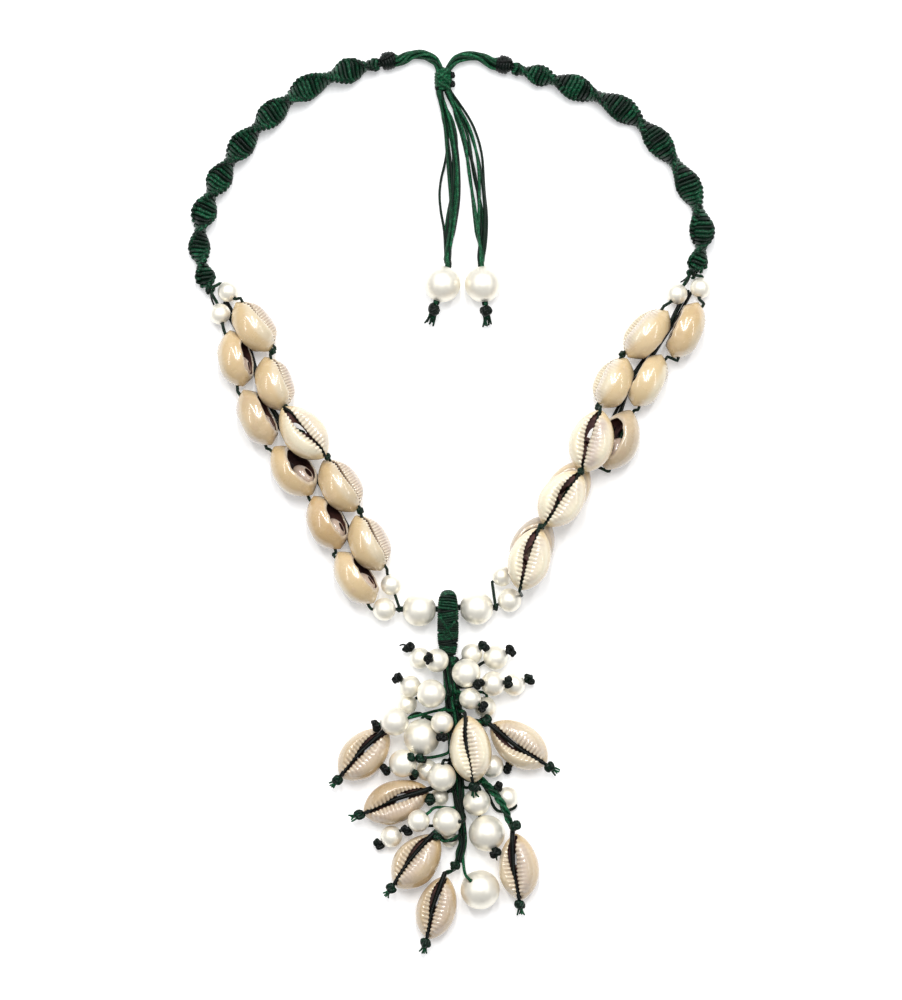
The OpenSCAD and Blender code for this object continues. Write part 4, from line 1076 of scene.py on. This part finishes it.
def closed_rings(form, rings, masks, transform, **constant):
    """Adds rings that close round both ways, with their faces turned outward."""
    rows, count = len(rings), len(rings[0])
    points = transform(np.concatenate(rings))
    j, k = np.meshgrid(np.arange(count), np.arange(rows))
    j2, k2 = (j + 1) % count, (k + 1) % rows
    quads = np.stack([k * count + j, k2 * count + j, k2 * count + j2, k * count + j2], axis=-1).reshape(-1, 4)
    first = points[quads[:, 0]]
    across = np.cross(points[quads[:, 1]] - first, points[quads[:, 2]] - first)
    if np.einsum("ij,ij->", first - points.mean(axis=0), across) < 0:
        quads = quads[:, ::-1]
    lay = np.stack([j / count, k / rows, j / count, (k + 1) / rows, (j + 1) / count, (k + 1) / rows,
                    (j + 1) / count, k / rows], axis=-1).reshape(-1, 2)
    values = {m: np.concatenate([row.get(m, np.zeros(count)) for row in masks]) for m in form.masks}
    values.update({m: np.full(rows * count, v) for m, v in constant.items()})
    form.add(points, quads, lay, **values)


SHELL_MASKS = ("face", "groove", "ridge", "bloom", "inside", "rim", "whorl", "tan", "grey")


def cowrie(name, row, pitch, roll, length, width, ribs, tan, grey, node, seed):
    rng = random.Random(seed)
    form = Form(*SHELL_MASKS)

    def transform(points):
        return turned(points, row[3], pitch, roll, row[:3])

    rings, masks = cowrie_rings(length, width, *ribs, rng)
    closed_rings(form, rings, masks, transform, tan=tan, grey=grey)
    for rings, masks in inner_whorl(length / 2, width / 2):
        closed_rings(form, rings, masks, transform, tan=tan, grey=grey)
    form.build(name, cowrie_glaze, "cowrie_shell", node)


LIP_TURN = {"left_inner": 14, "right_inner": 12, "right_outer": 12}      # degrees


def seen_roll(set_name, row):
    """A shell on its side shows its toothed lips a little more than its plain solid does."""
    if set_name.endswith("inner") and abs(row[4]) > ON_SIDE:
        return row[4] - math.copysign(LIP_TURN[set_name], row[4])
    if set_name == "right_outer" and abs(row[4]) < FACE_DOWN:
        return row[4] + LIP_TURN[set_name]
    return row[4]


for set_name, rows in (("left_inner", LEFT_INNER), ("left_outer", LEFT_OUTER),
                       ("right_inner", RIGHT_INNER), ("right_outer", RIGHT_OUTER)):
    for k, row in enumerate(rows):
        ribs = SIDE_RIBS if abs(row[4]) > ON_SIDE else FACE_RIBS
        cowrie(f"cowrie_{set_name}_{k + 1}", row, 0, seen_roll(set_name, row), row[5], row[6], ribs,
               row[8], row[9], f"shell_{set_name}_{k + 1}", 100 + 10 * len(set_name) + k)
for k, row in enumerate(PENDANT_SHELLS):
    ribs = PENDANT_RIBS if k else FIRST_PENDANT_RIBS
    cowrie(f"pendant_cowrie_{k + 1}", row, row[4], row[5], row[6], row[7], ribs, row[8], row[9],
           f"pendant_shell_{k + 1}", 200 + k)

# ---------------------------------------------------------------- threads of the two strands

SLIT_LEVEL = 2.6                     # height of the cord in a slit over the middle of its shell
ROW_CORD_GAP, ROW_CORD_WANDER = 0.62, 0.25


def shell_spot(row, pitch, roll, p):
    return turned([p], row[3], pitch, roll, row[:3])[0]


def pearl_pass(row):
    way = aim(row[4], row[5]) * (row[3] / 2 + MOUTH / 2)
    return [place(row) - way, place(row) + way]


def shell_pass(row):
    half = row[5] / 2
    under = -0.55 * SHELL_RISE - 2.6
    far = half * 0.5 if row[7] else half + 0.3
    deep = under if row[7] else 0.28 * SHELL_RISE
    return [shell_spot(row, 0, row[4], p) for p in ([-far, 0, deep], [0, 0, 0.4], [far, 0, deep])]


def strand_line(neck, shells, collar, end):
    points = pearl_pass(neck)
    for row in shells:
        points += shell_pass(row)
    return np.array(points + pearl_pass(collar) + [np.array(end)])


def slit_cord(form, row, rng):
    """A cord that lies in a cowrie's slit, between the tips of its teeth."""
    half = row[5] / 2
    points = []
    for t in np.linspace(-1, 1, 15):
        drop = 1.5 * abs(t) ** 6
        across = 0.45 * (1 - t * t) + rng.uniform(-0.06, 0.06)
        points.append(shell_spot(row, 0, row[4], [t * half * 0.97, across, SLIT_LEVEL - drop]))
    tube(form, smooth(points, 2), 0.44, shade=0.05)


thread_rng = random.Random(31)


for side_name, parts, collar in (
        ("left", ((NECK_PEARLS[0], LEFT_INNER, COLLAR_SMALL[0], STRAND_ENDS[0]),
                  (NECK_PEARLS[1], LEFT_OUTER, COLLAR_SMALL[1], STRAND_ENDS[1])), COLLAR_LEFT),
        ("right", ((NECK_PEARLS[2], RIGHT_INNER, COLLAR_SMALL[3], STRAND_ENDS[2]),
                   (NECK_PEARLS[3], RIGHT_OUTER, COLLAR_SMALL[2], STRAND_ENDS[3])), COLLAR_RIGHT)):
    form = Form("shade")
    for neck, shells, small, end in parts:
        line = strand_line(neck, shells, small, end)
        tube(form, evenly(line, 260), CORD_R, 6, shade=0.4)
        for row in shells:
            if abs(row[4]) < FACE_UP:
                slit_cord(form, row, thread_rng)
    for row, after in zip(parts[0][1], parts[0][1][1:]):
        joint = (shell_spot(row, 0, row[4], [row[5] / 2, 0, 1.7])
                 + shell_spot(after, 0, after[4], [-after[5] / 2, 0, 1.7])) / 2
        overhand_knot(form, joint, unit(place(after) - place(row)), 2.2, thread_rng, 0.22, 0.4)
    for k in range(3):
        a = 2 * math.pi * k / 3
        offset = np.array([0, 0.5 * math.cos(a), 0.5 * math.sin(a)])
        tube(form, smooth(np.array(collar) + offset, 8), 0.45, shade=0.35)
    form.build(f"strand_cord_{side_name}", band_green, "waxed_cord", f"shell_thread_{side_name}")
    paired = list(zip(parts[0][1], parts[1][1]))[:5 if side_name == "left" else 3]
    between = [(place(parts[0][0]) + place(parts[1][0])) / 2 * [1, 1, 0] + [0, 0, 1.2]]
    for k, (inner, outer) in enumerate(paired):
        between.append((place(inner) + place(outer)) / 2 * [1, 1, 0] + [0, 0, 1.0])
        if k + 1 < len(paired):
            between.append((place(paired[k + 1][0]) + place(outer)) / 2 * [1, 1, 0] + [0, 0, 1.0])
    between = smooth(between, 8)
    _, side, _ = cross_frame(between, facing=(0, 0, 1))
    form = Form("shade")
    for k, shade in ((-1.0, 0.15), (0.0, 0.4), (1.0, 0.2)):
        wander = ROW_CORD_WANDER * np.sin(np.linspace(0, 14, len(between)) + 2 * k)
        line = between + side * (ROW_CORD_GAP * k + wander)[:, None] + [0, 0, 0.7 * (k == 0)]
        tube(form, line, CORD_R, shade=shade)
    form.build(f"row_cords_{side_name}", tie_end_green, "waxed_cord")

# ---------------------------------------------------------------- bail

BAIL_WRAP = 0.37
# Middle line of the wrapped loop in its side view: y, height, half width, half thickness
BAIL_LINE = [
    [-44.0, 3.0, 2.3, 1.1], [-41.6, 3.9, 2.8, 1.2], [-38.6, 5.3, 3.1, 1.35], [-35.6, 6.8, 3.1, 1.5],
    [-32.8, 7.7, 3.08, 1.5], [-30.2, 7.95, 2.95, 1.45], [-28.0, 7.05, 2.6, 1.45], [-27.0, 5.0, 2.1, 1.4],
    [-27.8, 2.8, 2.5, 1.35], [-30.4, 1.75, 2.9, 1.3], [-34.0, 1.55, 2.9, 1.2], [-38.5, 1.5, 2.8, 1.1],
    [-43.6, 1.6, 2.3, 1.0]]


def wrapped_bail():
    line = smooth([[BAIL_X, *row] for row in BAIL_LINE], 16)
    points, half_w, half_t = line[:, :3], line[:, 3], line[:, 4]
    s = run_length(points)
    across = np.array([1.0, 0, 0])
    way, _, _ = cross_frame(points, facing=across)
    rng = random.Random(41)
    form = Form("shade")
    turns = int(s[-1] / (1.84 * BAIL_WRAP))
    angles = LOOP_ANGLES
    for k in range(turns):
        distance = 0.3 + (s[-1] - 0.6) * k / (turns - 1)
        p, d = at_distance(distance, s, points), unit(at_distance(distance, s, way))
        w, t = np.interp(distance, s, half_w) - BAIL_WRAP, np.interp(distance, s, half_t) - BAIL_WRAP
        up = -np.cross(d, across)
        tilt = (0.16 if (k // 5) % 2 else -0.10) * w * np.cos(angles) + rng.uniform(-0.05, 0.05)
        loop = around(p, across, up, w, t, angles) + d * tilt[:, None]
        tube(form, loop, BAIL_WRAP * rng.uniform(0.94, 1.06), 7, closed=True, facing=d,
             shade=rng.uniform(0.15, 0.95))
    spots, core_w, core_t = points[::4], half_w[::4] - 0.8, half_t[::4] - 0.75
    upward = -np.cross(way[::4], across)
    rings = around(spots[:, None], across, upward[:, None], core_w[:, None], core_t[:, None], CORE_ANGLES)
    core(form, rings, [spots[0], spots[-1]], 0.1, turned_over=True)
    # two cords that cross over the wraps
    front = BAIL_LINE[:6]
    along = [-row[0] for row in front][::-1]
    heights, halves = [row[1] for row in front][::-1], [row[3] for row in front][::-1]
    for ends_x, ends_y in (((-2.2, 1.4), (-33.5, -39.5)), ((1.9, -0.6), (-34.8, -37.6))):
        strap = []
        for t in np.linspace(0, 1, 12):
            x, y = ends_x[0] + (ends_x[1] - ends_x[0]) * t, ends_y[0] + (ends_y[1] - ends_y[0]) * t
            middle, rise = np.interp(-y, along, heights), np.interp(-y, along, halves)
            strap.append([BAIL_X + x, y, middle + rise * math.sqrt(max(0.05, 1 - (x / 3.1) ** 2)) + 0.2])
        tube(form, strap, 0.4, shade=0.7)
    form.build("wrapped_bail", band_green, "waxed_cord", "bail_wrap")


wrapped_bail()

# ---------------------------------------------------------------- pendant cords


def trunk_at(y):
    table = np.array(TRUNK)[::-1]
    return at_distance(y, table[:, 1], table[:, :4])


def peel(route):
    """Start of a cord: it lies along the trunk's side for a while before it turns away."""
    leave = max(route[0][1], TRUNK[-1][1])
    here = trunk_at(leave)
    away = np.array(route[0]) - here[:3]
    away[1] = 0
    away = unit(away) if np.linalg.norm(away) > 0.3 else np.array([0, 0, 1.0])
    points = []
    for back in (7.5, 4.5, 2.0):
        spot = trunk_at(min(leave + back, TRUNK[0][1]))
        if points and abs(points[-1][1] - spot[1]) < 0.5:
            continue
        points.append(spot[:3] + away * max(spot[3] - 0.35, 0.5))
    return points + [np.array(p) for p in route]


def pendant_cords():
    rng = random.Random(51)
    green, dark = Form("shade"), Form("shade")
    trunk = evenly(smooth(TRUNK, 8), 70)
    way, side, up = cross_frame(trunk[:, :3], facing=(0, 0, 1))
    s = np.linspace(0, 1, len(trunk))
    shades = [0.02, 0.7, 0.05, 0.1, 0.85, 0.02, 0.2, 0.05, 0.7, 0.1]
    tube(green, trunk[:, :3], np.maximum(trunk[:, 3] - 0.75, 0.3), 10, shade=0.02)
    for k in range(10):
        angle = 2 * math.pi * k / 10 + 1.3 * s * math.pi + 0.2 * np.sin(9 * s + k)
        reach = np.maximum(trunk[:, 3] - 0.48, 0.35)
        last = len(trunk) if k % 2 else int(len(trunk) * (0.55 + 0.04 * k))
        line = around(trunk[:, :3], side, up, reach, reach, angle)
        tube(green, line[:last], CORD_R, shade=shades[k])
    for routes, rows in ((UPPER_ROUTES, UPPER_PEARLS), (LOWER_ROUTES, LOWER_PEARLS),
                         (LARGE_ROUTES, LARGE_PEARLS)):
        for route, row in zip(routes, rows):
            way = aim(row[4], row[5])
            reach = row[3] / 2
            last = reach + 0.5 if row[6] else reach - MOUTH / 2
            points = peel(route) + [place(row) - way * (reach + MOUTH), place(row), place(row) + way * last]
            tube(green, evenly(smooth(points, 6), 6 * len(points)), CORD_R,
                 shade=rng.choice([0.1, 0.3, 0.6, 0.8]))
            if row[6]:
                knot = place(row) + way * (reach + 1.25)
                across = unit(np.cross(way, [0, 0, 1])) * rng.choice((-1, 1))
                overhand_knot(dark, knot - across * 0.35, way, 3.0, rng, 0.2, rng.uniform(0.05, 0.4))
                beside = knot + way * 0.35 + across * 0.75 + np.array([0, 0, 0.2])
                overhand_knot(dark, beside, across, 2.3, rng, 0.22, rng.uniform(0.05, 0.4))
                if rng.random() < 0.35:
                    frayed_tuft(dark, knot + way * 1.1, unit(way + across * 0.5), 1, 1.8, 0.2, rng, 0.3, 0.5)
    for k, (route, row) in enumerate(zip(SHELL_ROUTES, PENDANT_SHELLS)):
        half = row[6] / 2
        line = [shell_spot(row, row[4], row[5], p) for p in
                ([-half - 0.9, -0.2, 2.4], [-half * 0.86, -0.3, 3.1], [-half * 0.4, -0.6, 3.0],
                 [half * 0.1, -0.8, 2.85], [half * 0.5, -0.6, 2.75], [half * 0.86, -0.2, 2.5],
                 [half + 0.5, 0, 1.9])]
        lead = smooth(peel(route) + line[:1], 6)
        thick = k == len(SHELL_ROUTES) - 1      # the last shell hangs on three strands
        strands = 3 if thick else 2
        for strand in range(strands):
            s = np.linspace(0, 1, len(lead))
            turn = 2 * math.pi * (strand / strands + run_length(lead) / 9)
            _, side, up = cross_frame(lead, facing=(0, 0, 1))
            reach = (0.72 if thick else 0.32) * ease(s / 0.15) * ease((1 - s) / 0.1)
            twisted = around(lead, side, up, reach, reach, turn)
            tube(green, twisted, 0.5 if thick else 0.42, shade=rng.choice([0.2, 0.45, 0.75]))
        # The cord in each shell's slit, drawn thick and dark: partly the real cord, partly painted shade in the
        # slit
        tube(dark, evenly(smooth(line, 8), 60), np.linspace(0.74 if k else 0.5, 0.48, 60), shade=0.2)
        way = aim(row[3])
        overhand_knot(dark, line[-1] + way * 0.7, way, 3.3, rng, 0.22, 0.5)
        frayed_tuft(green, line[-1] + way * 1.4, unit(way - np.array([0, 0, 0.3])), 4, 2.4, 0.25, rng, 0.34, 0.8)
    green.build("pendant_green_cords", tie_green, "waxed_cord", "pendant_cords")
    return dark


pendant_dark = pendant_cords()
inner_rng = random.Random(61)
for x, y, z, size, turn in (
        (18.1, -92.9, 8.9, 3.6, -85), (1.0, -104.5, 4.6, 3.2, -106), (10.1, -62.8, 6.6, 3.4, -36),
        (-6.1, -85.7, 5.2, 3.6, -160), (-4.4, -95.7, 7.6, 3.2, -129), (-2.4, -67.3, 9.4, 3.0, -90),
        (-11.6, -73.4, 8.6, 2.9, 0), (-9.0, -73.7, 8.8, 2.9, 20), (-10.4, -78.0, 7.6, 2.6, 60),
        (1.6, -57.8, 5.6, 2.4, 0), (6.8, -80.9, 5.4, 2.6, 40)):
    overhand_knot(pendant_dark, np.array([x, y, z]), aim(turn), size, inner_rng, 0.22, 0.6)
pendant_dark.build("pendant_knots", tie_end_green, "knot_cord")

# ---------------------------------------------------------------- pearls keep their solids

for name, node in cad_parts.items():
    if "pearl" in name:
        for slot in node.material_slots:
            slot.material = pearl_lacquer

# ---------------------------------------------------------------- table, light and air

floor_mesh = bpy.data.meshes.new("table_top")
TABLE_REACH = 6.0               # metres from the middle to each edge
floor_mesh.from_pydata([(x * TABLE_REACH, y * TABLE_REACH, 0) for x, y in ((-1, -1), (1, -1), (1, 1), (-1, 1))],
                       [], [(0, 1, 2, 3)])
floor_mesh.materials.append(table_material())
floor = bpy.data.objects.new("table_top", floor_mesh)
bpy.context.scene.collection.objects.link(floor)


def soft_light(name, where, size, power):
    lamp = bpy.data.lights.new(name, "AREA")
    lamp.shape, lamp.size, lamp.size_y = "RECTANGLE", size[0], size[1]
    lamp.energy = power
    made = bpy.data.objects.new(name, lamp)
    made.location = where
    aim_at = np.array([0, 0, 0]) - np.array(where)
    made.rotation_mode = "QUATERNION"
    made.rotation_quaternion = Vector(aim_at).to_track_quat("-Z", "Y")
    made.visible_camera = False
    bpy.context.scene.collection.objects.link(made)


# Three long lamps beyond the sliding knot, and a thin strip on each side: place, size in metres, watts
LAMP_SIZE, STRIP_SIZE, STRIP_WATTS, AIR_STRENGTH = (0.12, 1.5), (1.4, 0.07), 3.4, 0.31
for lamp_name, x, watts in (("lamp_left", -0.5, 14), ("lamp_middle", 0.0, 17), ("lamp_right", 0.5, 14)):
    soft_light(lamp_name, (x, 0.9, 1.7), LAMP_SIZE, watts)
soft_light("strip_left", (-1.1, 0.25, 1.2), STRIP_SIZE, STRIP_WATTS)
soft_light("strip_right", (1.1, 0.2, 1.2), STRIP_SIZE, STRIP_WATTS)

air = bpy.data.worlds.new("pale_room")
air.use_nodes = True
air.node_tree.nodes["Background"].inputs[0].default_value = (0.93, 0.95, 1.0, 1)
air.node_tree.nodes["Background"].inputs[1].default_value = AIR_STRENGTH
bpy.context.scene.world = air
bpy.context.scene.view_settings.view_transform = "Standard"
